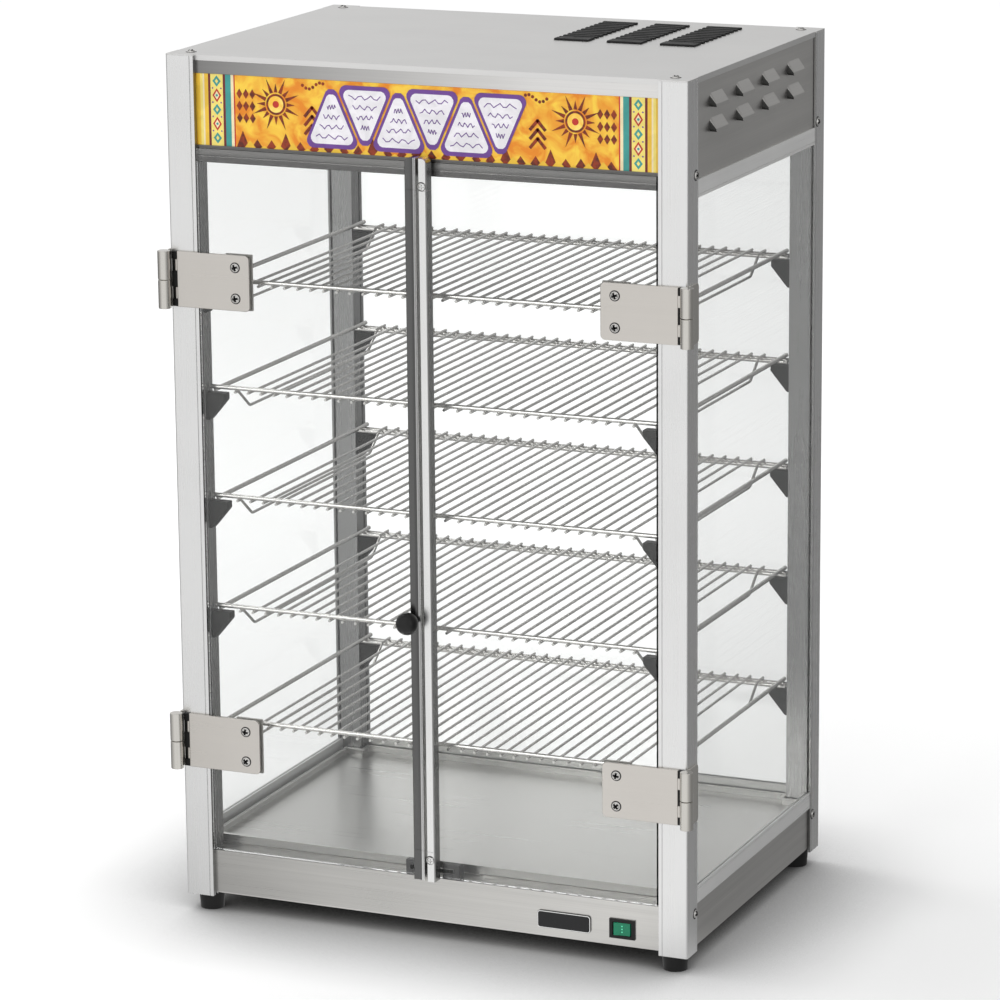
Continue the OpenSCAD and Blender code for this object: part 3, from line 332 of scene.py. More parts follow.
# Feet and cord gland
# Moulded rubber feet, screwed up into the posts, and the plastic gland low on the back
# where a supply cord would go through.
def moulding(name, colour, roughness, grain_mm=0.5, relief=0.15, coat=0.0):
    """Moulded plastic or rubber with a fine texture and a little wear in its gloss."""
    material, tree, surface = new_material(name)
    place = add(tree, "ShaderNodeTexCoord", out="Object")
    texture = add(tree, "ShaderNodeTexNoise", Vector=place, Scale=1000 / grain_mm, Detail=2.0)
    wear = add(tree, "ShaderNodeTexNoise", Vector=place, Scale=60.0, Detail=4.0)
    shade = spread(tree, wear, 0.3, 0.7, 0.85, 1.2)
    edge = add(tree, "ShaderNodeBevel", {"samples": 6}, Radius=0.0005)
    bump = add(tree, "ShaderNodeBump", Strength=relief, Distance=0.0001, Height=texture,
               Normal=edge)
    feed(tree, surface, Base_Color=shaded(tree, colour, shade), Normal=bump, Coat_Weight=coat,
         Roughness=spread(tree, wear, 0.3, 0.7, roughness - 0.05, roughness + 0.07),
         Specular_IOR_Level=0.3)
    return material


rubber = moulding("foot_rubber", (0.008, 0.008, 0.008), 0.45, grain_mm=0.8)
black_plastic = moulding("black_plastic", (0.007, 0.007, 0.007), 0.34)
give(rubber, "feet")
give(black_plastic, "cord_gland")


# Badge and power switch
# A black enamelled plate with a raised bright rim, left bare, and a rocker switch whose
# green lens is lit from inside and shows three pale dots.
def box_mm(node):
    """The low and the high corner of a node's box, in millimetres."""
    return [corner * 1000 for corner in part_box(node)]


def rounded_corners(corners, radius, steps=5):
    """The outline of a convex polygon with its corners rounded."""
    outline = []
    count = len(corners)
    for index, corner in enumerate(corners):
        here = Vector(corner)
        to_last = (Vector(corners[index - 1]) - here).normalized()
        to_next = (Vector(corners[(index + 1) % count]) - here).normalized()
        half = to_last.angle(to_next) / 2
        start = here + to_last * radius / math.tan(half)
        end = here + to_next * radius / math.tan(half)
        centre = here + (to_last + to_next).normalized() * radius / math.sin(half)
        for step in range(steps + 1):
            blend = (start - centre).lerp(end - centre, step / steps).normalized()
            outline.append(centre + blend * radius)
    return outline


def rectangle(left, low, right, high):
    """The corners of a rectangle."""
    return [(left, low), (right, low), (right, high), (left, high)]


def oblong(width, height, radius, centre):
    """A rectangle with rounded corners, round a centre."""
    x, z = centre
    corners = rectangle(x - width / 2, z - height / 2, x + width / 2, z + height / 2)
    return rounded_corners(corners, radius)


def add_loft(shape, outlines, endless=False):
    """Adds a solid through outlines in a row. An endless one joins its last to its first."""
    rings = [[shape.verts.new(point) for point in outline] for outline in outlines]
    following_rings = rings[1:] + rings[:1] if endless else rings[1:]
    for ring, following in zip(rings, following_rings):
        for index, corner in enumerate(ring):
            after = (index + 1) % len(ring)
            shape.faces.new((corner, ring[after], following[after], following[index]))
    if not endless:
        shape.faces.new(rings[0])
        shape.faces.new(rings[-1])


def piece_from(shape, name, material, round_mm, segments=2):
    """Turns a mesh in millimetres into a piece in metres with rounded edges."""
    bmesh.ops.scale(shape, vec=(0.001, 0.001, 0.001), verts=shape.verts)
    bmesh.ops.recalc_face_normals(shape, faces=shape.faces)
    for face in shape.faces:
        face.smooth = True
    mesh = bpy.data.meshes.new(name)
    shape.to_mesh(mesh)
    shape.free()
    mesh.materials.append(material)
    piece = new_object(name, mesh)
    round_edges(piece, round_mm, segments)
    return piece


badge_low, badge_high = box_mm("badge_plate")
badge_middle = ((badge_low.x + badge_high.x) / 2, (badge_low.z + badge_high.z) / 2)
badge_w, badge_h = badge_high.x - badge_low.x, badge_high.z - badge_low.z
rim_inset, rim_w, rim_out, rim_sunk, rim_corner_r = 0.3, 1.1, 0.5, 0.2, 3.2
rim_outlines = []
for inset, out in ((rim_inset, -rim_sunk), (rim_inset, rim_out), (rim_w, rim_out),
                   (rim_w, -rim_sunk)):
    outline = oblong(badge_w - 2 * inset, badge_h - 2 * inset, rim_corner_r - inset, badge_middle)
    rim_outlines.append([(x, badge_low.y - out, z) for x, z in outline])
rim = bmesh.new()
add_loft(rim, rim_outlines, endless=True)
rim_metal = metal("bright_rim", (0.85, 0.85, 0.84), x_axis, roughness=0.2)
badge_rim = piece_from(rim, "badge_rim", rim_metal, 0.15)
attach(badge_rim, "cabinet")
enamel = moulding("badge_enamel", (0.006, 0.006, 0.007), 0.22, coat=0.2)
give(enamel, "badge_plate")

rocker_low, rocker_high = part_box("switch_rocker")
rocker_middle = (rocker_low + rocker_high) / 2
dot_radius, dot_step = 0.0007, 0.0028
lens = moulding("green_lens", (0.004, 0.20, 0.10), 0.25, coat=0.4)
lens_tree = lens.node_tree
lens_place = add(lens_tree, "ShaderNodeVectorMath", {"operation": "MULTIPLY"},
                 order=(add(lens_tree, "ShaderNodeTexCoord", out="Object"), (1, 0, 1)))
glow = 0.0
for row in (-1, 0, 1):
    spot = (rocker_middle.x, 0, rocker_middle.z + row * dot_step)
    apart = add(lens_tree, "ShaderNodeVectorMath", {"operation": "DISTANCE"}, "Value",
                (lens_place, spot))
    glow = math_node(lens_tree, "MAXIMUM", glow,
                     math_node(lens_tree, "LESS_THAN", apart, dot_radius))
lens_light = add(lens_tree, "ShaderNodeMixRGB", Fac=glow, Color1=(0.0, 0.05, 0.025, 1),
                 Color2=(0.2, 1.0, 0.6, 1))
feed(lens_tree, lens_tree.nodes["Principled BSDF"], Emission_Color=lens_light,
     Emission_Strength=0.6)
give(lens, "switch_rocker")
give(black_plastic, "switch_housing")
soften(0.5, "switch_housing")
soften(0.4, "switch_rocker")


# Sill of the base front
# The front sheet turns over in a tight roll at the top and runs back as the sill on which the doors
# close. It has the front's material, so painted shade darkens its upward faces and its left end.
def add_bar(shape, profile, start, end, axis):
    """Adds a bar of one profile, from start to end along an axis."""
    add_loft(shape, [[(*point[:axis], along, *point[axis:]) for point in profile]
                     for along in (start, end)])


panel_low, panel_high = box_mm("base_front_panel")
sill_half = box_mm("post_front_right")[0].x - 0.1
roll_r, roll_proud, sill_skin, roll_lip = 1.6, 0.05, 0.5, 2.0
roll_y, roll_z = panel_low.y - roll_proud + roll_r, panel_high.z + roll_proud - roll_r
roll_steps = 6
roll_turns = [math.radians(90 * step / roll_steps) for step in range(roll_steps + 1)]
sill_profile = [(roll_y - roll_r * math.cos(turn), roll_z + roll_r * math.sin(turn))
                for turn in roll_turns]
sill_profile += [
    (panel_high.y, roll_z + roll_r), (panel_high.y, roll_z + roll_r - sill_skin),
    (roll_y, roll_z + roll_r - sill_skin), (roll_y - roll_r + sill_skin, roll_z),
    (roll_y - roll_r + sill_skin, roll_z - roll_lip), (roll_y - roll_r, roll_z - roll_lip),
]
sill_shape = bmesh.new()
add_bar(sill_shape, sill_profile, -sill_half, sill_half, x_axis)
rolled_sill = piece_from(sill_shape, "rolled_sill", front_metal, 0.1)
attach(rolled_sill, "cabinet")


# Rails round the panes
# Pressed aluminium rails above and below the side and rear panes hold them in the posts.
rail_metal = metal("rail_aluminium", (0.80, 0.80, 0.79), y_axis, streak=0.04, satin=0.5)
rear_rail_metal = metal("rear_rail_aluminium", (0.42, 0.42, 0.41), x_axis, roughness=0.32)
give(rail_metal, "side_rails")
give(rear_rail_metal, "rear_rails")


# Panes
# Tempered glass at the back and on both sides, and in both doors. Light goes down the
# pane and leaves at its edges, which are ground and look greenish.
def pane_glass(name, facing):
    """Clear glass whose faces look along one axis. Its edges are tinted."""
    material, tree, surface = new_material(name)
    coordinates = add(tree, "ShaderNodeTexCoord").node.outputs
    apart = add(tree, "ShaderNodeSeparateXYZ", out=facing, Vector=coordinates["Normal"])
    on_face = math_node(tree, "GREATER_THAN", math_node(tree, "ABSOLUTE", apart), 0.5)
    tint = add(tree, "ShaderNodeMixRGB", Fac=on_face, Color1=(0.38, 0.47, 0.43, 1),
               Color2=(0.978, 0.984, 0.98, 1))
    haze = add(tree, "ShaderNodeTexNoise", Vector=coordinates["Object"], Scale=7.0, Detail=5.0)
    feed(tree, surface, Base_Color=tint, Roughness=spread(tree, haze, 0.4, 0.8, 0.0, 0.012),
         Transmission_Weight=1.0, IOR=1.45)
    clear = add(tree, "ShaderNodeBsdfTransparent", Color=(0.98, 0.986, 0.983, 1))
    path = add(tree, "ShaderNodeLightPath").node.outputs
    past = math_node(tree, "MAXIMUM", path["Is Shadow Ray"], path["Is Diffuse Ray"])
    either = add(tree, "ShaderNodeMixShader", order=(past, surface.outputs[0], clear))
    feed(tree, tree.nodes["Material Output"], Surface=either)
    return material


side_glass = pane_glass("side_pane_glass", x_axis)
front_glass = pane_glass("door_pane_glass", y_axis)
give(side_glass, "side_glass_left", "side_glass_right")
give(front_glass, "rear_glass", "door_glass_left", "door_glass_right")


# Inside the header
# A steel pan carries the circulation fan, a hairpin heater on its plates and the tube
# lamp that lights the sign. None of it shows from in front.
pan_metal = metal("pan_steel", (0.62, 0.61, 0.60), x_axis, roughness=0.38)
heater_metal = metal("heater_sheath", (0.30, 0.29, 0.27), x_axis, roughness=0.45)
holder_plastic = moulding("white_plastic", (0.80, 0.80, 0.77), 0.4)
lamp_tube = moulding("lamp_tube", (0.9, 0.9, 0.86), 0.3, grain_mm=2.0, relief=0.03)
feed(lamp_tube.node_tree, lamp_tube.node_tree.nodes["Principled BSDF"],
     Emission_Color=(1.0, 0.96, 0.86, 1), Emission_Strength=0.5)
give(pan_metal, "ceiling_pan", "heater_plates")
give(heater_metal, "heater_element")
give(lamp_tube, "sign_lamp")
give(holder_plastic, "lamp_holders")
give(black_plastic, "fan_housing", "fan_rotor")


# Header
# Rails above and below the sign, folded from brushed sheet, the same sheet with pressed louvres at
# the sides, and a plain panel at the back. The lower rail is dark. Painted shade darkens the top
# rail towards its left end and the lower rail below a line near its lower edge, and the back panel
# is dark all over from the side sheet's painted shadow line.
# Painted shade: darker towards the left end.
top_rail_metal = metal("header_top_steel", (0.80, 0.79, 0.775), x_axis, streak=0.05,
                       shade_fades=[(x_axis, -0.24, 0.12, 0.7)])
# Painted shade below a line near the lower edge.
low_rail_metal = metal("header_low_steel", (0.21, 0.205, 0.20), x_axis, streak=0.06,
                       shade_fades=[(z_axis, 0.724, 0.7285, 0.5)])
give(top_rail_metal, "header_top_rail")
give(low_rail_metal, "header_bottom_rail")
give(side_metal, "header_rear_panel")
soften(0.5, "header_top_rail", "header_bottom_rail")


# Louvred sides of the header
# The side sheets are brushed steel. Eight louvres are lanced and pushed out of each. They are open
# at the ends and below, so that warm air gets out; the hoods are closed, and near-black faces with
# painted shade stand for the openings and the shadow inside them.
louvre_metal = metal("louvred_steel", sheet_steel, y_axis, roughness=0.36, streak=0.06)
shadow_metal = metal("louvre_painted_shade", (0.06, 0.06, 0.058), y_axis, roughness=0.5)
sheet_inner_x, sheet_t = 247.6, 4.0
louvre_l, louvre_h, louvre_out, louvre_sunk, louvre_corner_r = 34.0, 13.0, 6.2, 0.5, 4.5
lip_h, lip_corner_r, lip_short = 3.0, 1.4, 3.0
louvre_zs = (792.5, 770.5)
louvre_y0, louvre_pitch, louvre_columns = -91.0, 67.0, 4
for side, label in ((-1, "left"), (1, "right")):
    low, high = box_mm(f"header_side_{label}")
    outer = side * (sheet_inner_x + sheet_t)
    plain_sheet = bmesh.new()
    add_bar(plain_sheet, rectangle(side * sheet_inner_x, low.z, outer, high.z), low.y, high.y,
            y_axis)
    sheet = piece_from(plain_sheet, f"louvred_side_{label}", louvre_metal, 0.3)
    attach(sheet, "cabinet")
    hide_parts(f"header_side_{label}")
    louvres = bmesh.new()
    root = (outer - side * louvre_sunk, louvre_l, louvre_h, louvre_corner_r)
    lip = (outer + side * louvre_out, louvre_l - lip_short, lip_h, lip_corner_r)
    for z in louvre_zs:
        for column in range(louvre_columns):
            y = louvre_y0 + column * louvre_pitch
            add_loft(louvres, [
                [(x, *p) for p in oblong(length, height, radius, (y, z + (height - louvre_h) / 2))]
                for x, length, height, radius in (root, lip)])
    hoods = piece_from(louvres, f"louvre_hoods_{label}", louvre_metal, 0.4)
    hoods.data.materials.append(shadow_metal)
    # Faces that look along the sheet or down get painted shade, for the openings.
    for face in hoods.data.polygons:
        if abs(face.normal.y) > 0.6 or face.normal.z < -0.8:
            face.material_index = 1
    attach(hoods, "cabinet")


# Sign
# A printed film behind the header's opening, lit from behind. It has a striped border
# at each end, and between them corn chips over a warm ground with dark red figures.
sign_glow = 0.06
film_t, ink_step = 0.04, 0.06
film_y = box_mm("sign_panel")[0].y - 0.05
window_left, window_right = -226.0, 226.0
window_low, window_high = 734.5, 800.0
sign_middle = (window_low + window_high) / 2


def ink(name, colour, second=None, cloud_mm=18.0):
    """Printed ink, lit from behind. A second colour clouds it."""
    material, tree, surface = new_material(name)
    place = add(tree, "ShaderNodeTexCoord", out="Object")
    clouds = add(tree, "ShaderNodeTexNoise", Vector=place, Scale=1000 / cloud_mm, Detail=5.0,
                 Distortion=1.2)
    second = second or [part * 0.86 for part in colour]
    mixed = add(tree, "ShaderNodeMixRGB", Fac=spread(tree, clouds, 0.38, 0.62, 0, 1),
                Color1=(*colour, 1), Color2=(*second, 1))
    feed(tree, surface, Base_Color=mixed, Emission_Color=mixed, Emission_Strength=sign_glow,
         Roughness=spread(tree, clouds, 0, 1, 0.3, 0.45))
    return material


ink_colours = {
    "ground": ((0.95, 0.62, 0.06), (0.80, 0.25, 0.012), 26.0),
    "sun": ((1.0, 0.80, 0.22), (0.95, 0.55, 0.06), 14.0),
    "gold": ((0.90, 0.56, 0.05),),
    "yellow": ((0.95, 0.78, 0.20),),
    "cream": ((0.93, 0.80, 0.50),),
    "maroon": ((0.16, 0.015, 0.02),),
    "brown": ((0.10, 0.014, 0.006), (0.30, 0.035, 0.006), 7.0),
    "red": ((0.55, 0.03, 0.02),),
    "teal": ((0.05, 0.33, 0.30),),
    "purple": ((0.16, 0.06, 0.30),),
    "white": ((0.90, 0.88, 0.92),),
}
inks = {name: ink(f"sign_{name}", *looks) for name, looks in ink_colours.items()}
ink_order = list(inks)
print_shape = bmesh.new()


def printed(outline, colour, layer):
    """Prints one flat figure on the film. Its outline goes round anticlockwise."""
    y = film_y - layer * ink_step
    face = print_shape.faces.new([print_shape.verts.new((x, y, z)) for x, z in outline])
    face.material_index = ink_order.index(colour)


def diamond(x, z, half_w, half_h):
    """The corners of a diamond."""
    return [(x - half_w, z), (x, z - half_h), (x + half_w, z), (x, z + half_h)]


def on_circle(x, z, radius, angle):
    """A point on a circle."""
    return x + radius * math.cos(angle), z + radius * math.sin(angle)


def disc(x, z, radius, corners=16):
    """The corners of a round dot."""
    return [on_circle(x, z, radius, 2 * math.pi * n / corners) for n in range(corners)]


def print_ribbon(points, half_w, colour, layer):
    """Prints a line of some width through points."""
    for start, end in zip(points, points[1:]):
        start, end = Vector(start), Vector(end)
        along = (end - start).normalized() * half_w
        side = Vector((-along.y, along.x))
        reach = along * 0.6
        printed([start - side - reach, end - side + reach, end + side + reach,
                 start + side - reach], colour, layer)


printed(rectangle(window_left - 5, window_low - 3, window_right + 5, window_high + 3), "ground", 0)

bead_strip_w, bead_pitch = 12.5, 13.0
border_stripes = [
    ("gold", 4.0), ("yellow", 2.6), ("cream", 1.6), ("gold", 3.8), ("maroon", 2.4),
    ("yellow", bead_strip_w), ("maroon", 2.4), ("teal", 5.6), ("cream", 2.8), ("red", 1.3),
]
border_w = sum(width for colour, width in border_stripes)
for side in (-1, 1):
    edge_x = side * window_right
    for colour, width in border_stripes:
        inner_x = edge_x - side * width
        printed(rectangle(min(edge_x, inner_x), window_low - 2, max(edge_x, inner_x),
                          window_high + 2), colour, 1)
        if width == bead_strip_w:
            strip_x = (edge_x + inner_x) / 2
        edge_x = inner_x
    for row in range(5):
        z = window_low + bead_pitch * (row + 0.5) + 0.5
        if row % 2:
            printed(diamond(strip_x, z, 4.4, 6.4), "red", 2)
            printed(diamond(strip_x, z, 2.6, 4.0), "cream", 3)
            printed(disc(strip_x, z, 1.2), "teal", 4)
        else:
            printed(diamond(strip_x, z, 4.2, 5.2), "teal", 2)
            printed(diamond(strip_x, z, 1.6, 2.2), "yellow", 3)
    for row in range(4):
        z = window_low + bead_pitch * (row + 1) + 0.5
        for step in (-4.2, 4.2):
            printed(disc(strip_x + step, z, 0.8, 10), "purple", 2)

field_left = window_left + border_w
ridge_count = 26
ridge_step = -2 * field_left / ridge_count
for layer, height, colour, phase in ((2, 17, "brown", 0.0), (3, 9, "gold", 0.5)):
    for index in range(math.floor(ridge_count - phase)):
        left = field_left + (index + phase) * ridge_step
        tall = height * (0.72 + 0.28 * math.cos(index * 2.1 + phase))
        printed([(left, window_low - 2), (left + ridge_step, window_low - 2),
                 (left + ridge_step / 2, window_low - 2 + tall)], colour, layer)

sun_z = sign_middle + 8
ray_count, ray_foot, ray_spread = 16, 11, 0.17
for side in (-1, 1):
    sun_x = side * 146.0
    for ray in range(ray_count):
        angle = 2 * math.pi * ray / ray_count
        printed([on_circle(sun_x, sun_z, ray_foot, angle - ray_spread),
                 on_circle(sun_x, sun_z, 25 if ray % 2 else 19, angle),
                 on_circle(sun_x, sun_z, ray_foot, angle + ray_spread)], "brown", 4)
    printed(disc(sun_x, sun_z, 9.6, 28), "brown", 4)
    printed(disc(sun_x, sun_z, 7.6, 28), "sun", 5)
    printed(disc(sun_x, sun_z, 3.2, 18), "red", 6)
    for index in range(9):
        printed(diamond(sun_x + side * 30 + (index % 3 - 1) * 6.5, sun_z - 14 + index // 3 * 11,
                        2.9, 4.6), "brown", 4)
    for index in range(7):
        x = sun_x - side * (27 + index * 3.4)
        printed(disc(x, window_high - 6 - 3 * math.sin(index * 0.9), 1.5, 12), "brown", 4)
    x = sun_x - side * 36
    for step in range(3):
        z = sign_middle + 4 - step * 8
        print_ribbon([(x - 7, z - 5), (x, z + 3), (x + 7, z - 5)], 1.5, "brown", 4)

chip_count, chip_pitch, chip_middle = 6, 33.0, -8.0
chip_low, chip_tip, chip_half_w, chip_corner_r = -24.5, 39.0, 31.0, 6.5
for index in range(chip_count):
    x = chip_middle + (index - (chip_count - 1) / 2) * chip_pitch
    up = -1 if index % 2 else 1
    z = sign_middle - up * 4.5
    corners = [(-chip_half_w, chip_low * up), (chip_half_w, chip_low * up), (0.0, chip_tip * up)]
    raised = 2 * (index % 2)
    for scale, colour, layer in ((1.0, "purple", 7), (0.84, "white", 8)):
        printed(rounded_corners([(x + cx * scale * 0.92, z + cz * scale)
                                 for cx, cz in corners[::up]], chip_corner_r * scale),
                colour, layer + raised)
    for line in range(4):
        wave_z = z + up * (-14 + line * 9.0)
        reach = 15.5 - line * 3.8
        wave = [(x + reach * (t / 5 - 1), wave_z + 2.1 * math.sin(t * 1.9 + line + index))
                for t in range(11)]
        print_ribbon(wave, 0.42, "purple", 9.4 + raised)

bmesh.ops.scale(print_shape, vec=(0.001, 0.001, 0.001), verts=print_shape.verts)
print_mesh = bpy.data.meshes.new("sign_print")
print_shape.to_mesh(print_mesh)
print_shape.free()
for name in ink_order:
    print_mesh.materials.append(inks[name])
sign_print = new_object("sign_print", print_mesh)
thickness = sign_print.modifiers.new("film", "SOLIDIFY")
thickness.thickness = film_t / 1000
thickness.offset = -1
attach(sign_print, "cabinet")
give(inks["ground"], "sign_panel")


# Top cover and vents
# One smooth sheet closes the top, with a folded front edge. Three black inserts with
# ribs sit in its openings and let the warm air out.
cover_metal = metal("cover_steel", (0.80, 0.795, 0.785), x_axis, roughness=0.42, streak=0.015)
give(cover_metal, "top_cover")
soften(0.6, "top_cover")
vent_plastic = moulding("vent_plastic", (0.005, 0.005, 0.005), 0.5)
vents_low, vents_high = box_mm("top_vents")
cover_top = box_mm("top_cover")[1].z
vent_count, vent_w, vent_tooth, vent_plate_h, vent_skirt = 3, 34.0, 5.0, 0.5, 4.0
vent_step = (vents_high.x - vents_low.x - vent_w) / (vent_count - 1)
rib_count, rib_h, rib_gap, rib_slope = 12, 1.9, 0.4, 1.2
rib_step = (vents_high.y - vents_low.y) / rib_count
rib_foot = cover_top + rib_h * 0.7
vents = bmesh.new()
for number in range(vent_count):
    left = vents_low.x + number * vent_step
    plate = rectangle(vents_low.y, cover_top - vent_skirt, vents_high.y, cover_top + vent_plate_h)
    add_bar(vents, plate, left + 1, left + vent_w - vent_tooth, x_axis)
    for row in range(rib_count):
        near = vents_low.y + row * rib_step + rib_gap
        far = near + (rib_step * 0.55 if row else rib_step - rib_gap)
        add_bar(vents, [(near, cover_top), (far, cover_top), (far, rib_foot),
                        (far - rib_slope, cover_top + rib_h), (near + rib_slope, cover_top + rib_h),
                        (near, rib_foot)], left, left + vent_w, x_axis)
vent_inserts = piece_from(vents, "vent_inserts", vent_plastic, 0.25)
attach(vent_inserts, "cabinet")
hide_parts("top_vents")


# Shelf brackets
# Black moulded hooks, clipped to the posts in five rows, carry the shelves.
bracket_plastic = moulding("bracket_plastic", (0.010, 0.010, 0.009), 0.45)
give(bracket_plastic, "shelf_brackets")
soften(0.8, "shelf_brackets")


# Wire shelves
# Chrome-plated wires are spot-welded under a front rod and over two rear rods, with a rod
# along each side. The outer wires dip, so that trays don't slide off.
def grown_tree(name, sizes):
    """A Geometry Nodes tree with named sizes and a material as its inputs."""
    tree = bpy.data.node_groups.new(name, "GeometryNodeTree")
    sockets = [("Geometry", "INPUT", "NodeSocketGeometry")]
    sockets += [(label, "INPUT", "NodeSocketFloat") for label in sizes]
    sockets += [("Material", "INPUT", "NodeSocketMaterial"),
                ("Geometry", "OUTPUT", "NodeSocketGeometry")]
    for label, way, kind in sockets:
        tree.interface.new_socket(label, in_out=way, socket_type=kind)
    return tree, tree.nodes.new("NodeGroupInput").outputs


def end_tree(tree, geometry, material, kept=None):
    """Ends a tree: real mesh instead of instances, sharp folds kept, material set. Faces
    that already have the kept material keep it."""
    real = add(tree, "GeometryNodeRealizeInstances", Geometry=geometry)
    angle = add(tree, "GeometryNodeInputMeshEdgeAngle", out="Unsigned Angle")
    soft = add(tree, "FunctionNodeCompare", {"operation": "LESS_THAN"}, A=angle,
               B=math.radians(38))
    faces = add(tree, "GeometryNodeSetShadeSmooth", {"domain": "FACE"}, Geometry=real)
    edges = add(tree, "GeometryNodeSetShadeSmooth", {"domain": "EDGE"}, Geometry=faces,
                Shade_Smooth=soft)
    dressed = add(tree, "GeometryNodeSetMaterial", Geometry=edges, Material=material)
    if kept:
        has_it = add(tree, "GeometryNodeMaterialSelection", Material=kept)
        rest = add(tree, "FunctionNodeBooleanMath", {"operation": "NOT"}, order=(has_it,))
        feed(tree, dressed.node, Selection=rest)
    feed(tree, tree.nodes.new("NodeGroupOutput"), (dressed,))


def grow(name, tree, lines, sizes, material, facing=None):
    """Runs a tree on lines of points in millimetres and returns the plain mesh."""
    points, edges = [], []
    for line in lines:
        edges += [(len(points) + n, len(points) + n + 1) for n in range(len(line) - 1)]
        points += [tuple(part / 1000 for part in point) for point in line]
    carrier_mesh = bpy.data.meshes.new(name)
    carrier_mesh.from_pydata(points, edges, [])
    if facing:
        held = carrier_mesh.attributes.new("facing", "FLOAT_VECTOR", "POINT")
        for index, direction in enumerate(facing):
            held.data[index].vector = direction
    carrier = new_object(name, carrier_mesh)
    growth = carrier.modifiers.new("growth", "NODES")
    growth.node_group = tree
    given = dict(sizes, Material=material)
    for item in tree.interface.items_tree:
        if item.in_out == "INPUT" and item.name in given:
            growth[item.identifier] = given[item.name]
    bpy.context.view_layer.update()
    ready = carrier.evaluated_get(bpy.context.evaluated_depsgraph_get())
    mesh = bpy.data.meshes.new_from_object(ready)
    bpy.data.objects.remove(carrier)
    mesh.name = name
    return mesh


wire_tree, given = grown_tree("wires along edges", ["Radius", "Bend"])
lines = add(wire_tree, "GeometryNodeMeshToCurve", order=(given["Geometry"],))
bent = add(wire_tree, "GeometryNodeFilletCurve", Curve=lines, Radius=given["Bend"])
bent_mode = bent.node.inputs.get("Mode")
if bent_mode is None:
    bent.node.mode = "POLY"
else:
    bent_mode.default_value = "Poly"
feed(wire_tree, bent.node, Count=5)
section = add(wire_tree, "GeometryNodeCurvePrimitiveCircle", Resolution=12, Radius=given["Radius"])
drawn = add(wire_tree, "GeometryNodeCurveToMesh", Curve=bent, Profile_Curve=section,
            Fill_Caps=True)
end_tree(wire_tree, drawn, given["Material"])

weld_tree, given = grown_tree("weld beads on points", ["Radius", "Height"])
bead = add(weld_tree, "GeometryNodeMeshUVSphere", Segments=8, Rings=5, Radius=given["Radius"])
squat = add(weld_tree, "ShaderNodeCombineXYZ", X=1.0, Y=1.0, Z=given["Height"])
bead = add(weld_tree, "GeometryNodeTransform", Geometry=bead, Scale=squat)
placed = add(weld_tree, "GeometryNodeInstanceOnPoints", Points=given["Geometry"], Instance=bead)
end_tree(weld_tree, placed, given["Material"])

wire_metal = metal("shelf_chrome", sheet_steel, y_axis, roughness=0.2, streak=0.05, edge_mm=0.1)
rod_r, wire_r, weld_r = 2.1, 1.3, 1.7
side_rod_x, rod_end_x = 219.0, 224.5
side_rod_ys = (-149.5, 179.5)
front_rod_y, front_rod_up = -148.5, 2.3
rear_rod_ys, rear_rod_down = (176.5, 167.5), -4.3
wire_ys, wire_down = (-152.5, 178.5), -1.0
wire_count, wire_field = 31, 395.0
dip, dip_front, dip_rear = 18.0, 7.0, 17.0
dip_run = dip / math.tan(math.radians(38))
cad_rod_up, cad_rod_r = 2.6, 2.5

rod_lines = [[(side * side_rod_x, y, 0) for y in side_rod_ys] for side in (-1, 1)]
for y, up in ((front_rod_y, front_rod_up), *((y, rear_rod_down) for y in rear_rod_ys)):
    rod_lines.append([(-rod_end_x, y, up), (rod_end_x, y, up)])
wire_lines, weld_points = [], []
for index in range(wire_count):
    x = wire_field * (index / (wire_count - 1) - 0.5)
    wire = [(x, y, wire_down) for y in wire_ys]
    if index in (0, wire_count - 1):
        dip_start, dip_end = wire_ys[0] + dip_front, wire_ys[1] - dip_rear
        wire[1:1] = [(x, dip_start, wire_down), (x, dip_start + dip_run, wire_down - dip),
                     (x, dip_end - dip_run, wire_down - dip), (x, dip_end, wire_down)]
    wire_lines.append(wire)
    weld_points.append([(x, front_rod_y, (front_rod_up + wire_down) / 2 - 0.4)])
    weld_points += [[(x, y, (rear_rod_down + wire_down) / 2 + 0.2)] for y in rear_rod_ys]

rods = grow("rods", wire_tree, rod_lines, {"Radius": rod_r / 1000, "Bend": 0.001}, wire_metal)
wires = grow("wires", wire_tree, wire_lines, {"Radius": wire_r / 1000, "Bend": 0.007}, wire_metal)
welds = grow("welds", weld_tree, weld_points, {"Radius": weld_r / 1000, "Height": 0.5}, wire_metal)
shelf_shape = bmesh.new()
for part in (rods, wires, welds):
    shelf_shape.from_mesh(part)
for number in range(1, 6):
    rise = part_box(f"shelf_{number}")[1].z - (cad_rod_up + cad_rod_r) / 1000
    shelf_mesh = bpy.data.meshes.new(f"wire_shelf_{number}")
    shelf_shape.to_mesh(shelf_mesh)
    shelf_mesh.transform(Matrix.Translation((0, 0, rise)))
    shelf_mesh.materials.append(wire_metal)
    shelf = new_object(f"wire_shelf_{number}", shelf_mesh)
    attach(shelf, f"shelf_{number}")
    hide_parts(f"shelf_{number}")
shelf_shape.free()


# Crumb tray
# A shallow folded tray lies on the deck and lifts out. Its floor is polished by wiping, so it is
# smoother than the sheet round it. Painted shade darkens its faces that look to the front.
tray_metal = metal("tray_steel", (0.70, 0.695, 0.675), x_axis, streak=0.02, edge_mm=0.1,
                   side=((0, -1, 0), 0.45))
give(tray_metal, "crumb_tray")
soften(0.25, "crumb_tray")


# Screws
# Pan-head steel screws with a cross recess go through the posts' sides, the cover, the hinge plates
# and the stile ends. Each is turned as it was driven. The recess is near-black with painted shade,
# and a thin near-black disc under each head is a painted shadow ring round it.
def shifted(tree, geometry, height):
    """Geometry at another height."""
    offset = add(tree, "ShaderNodeCombineXYZ", Z=height)
    return add(tree, "GeometryNodeTransform", Geometry=geometry, Translation=offset)


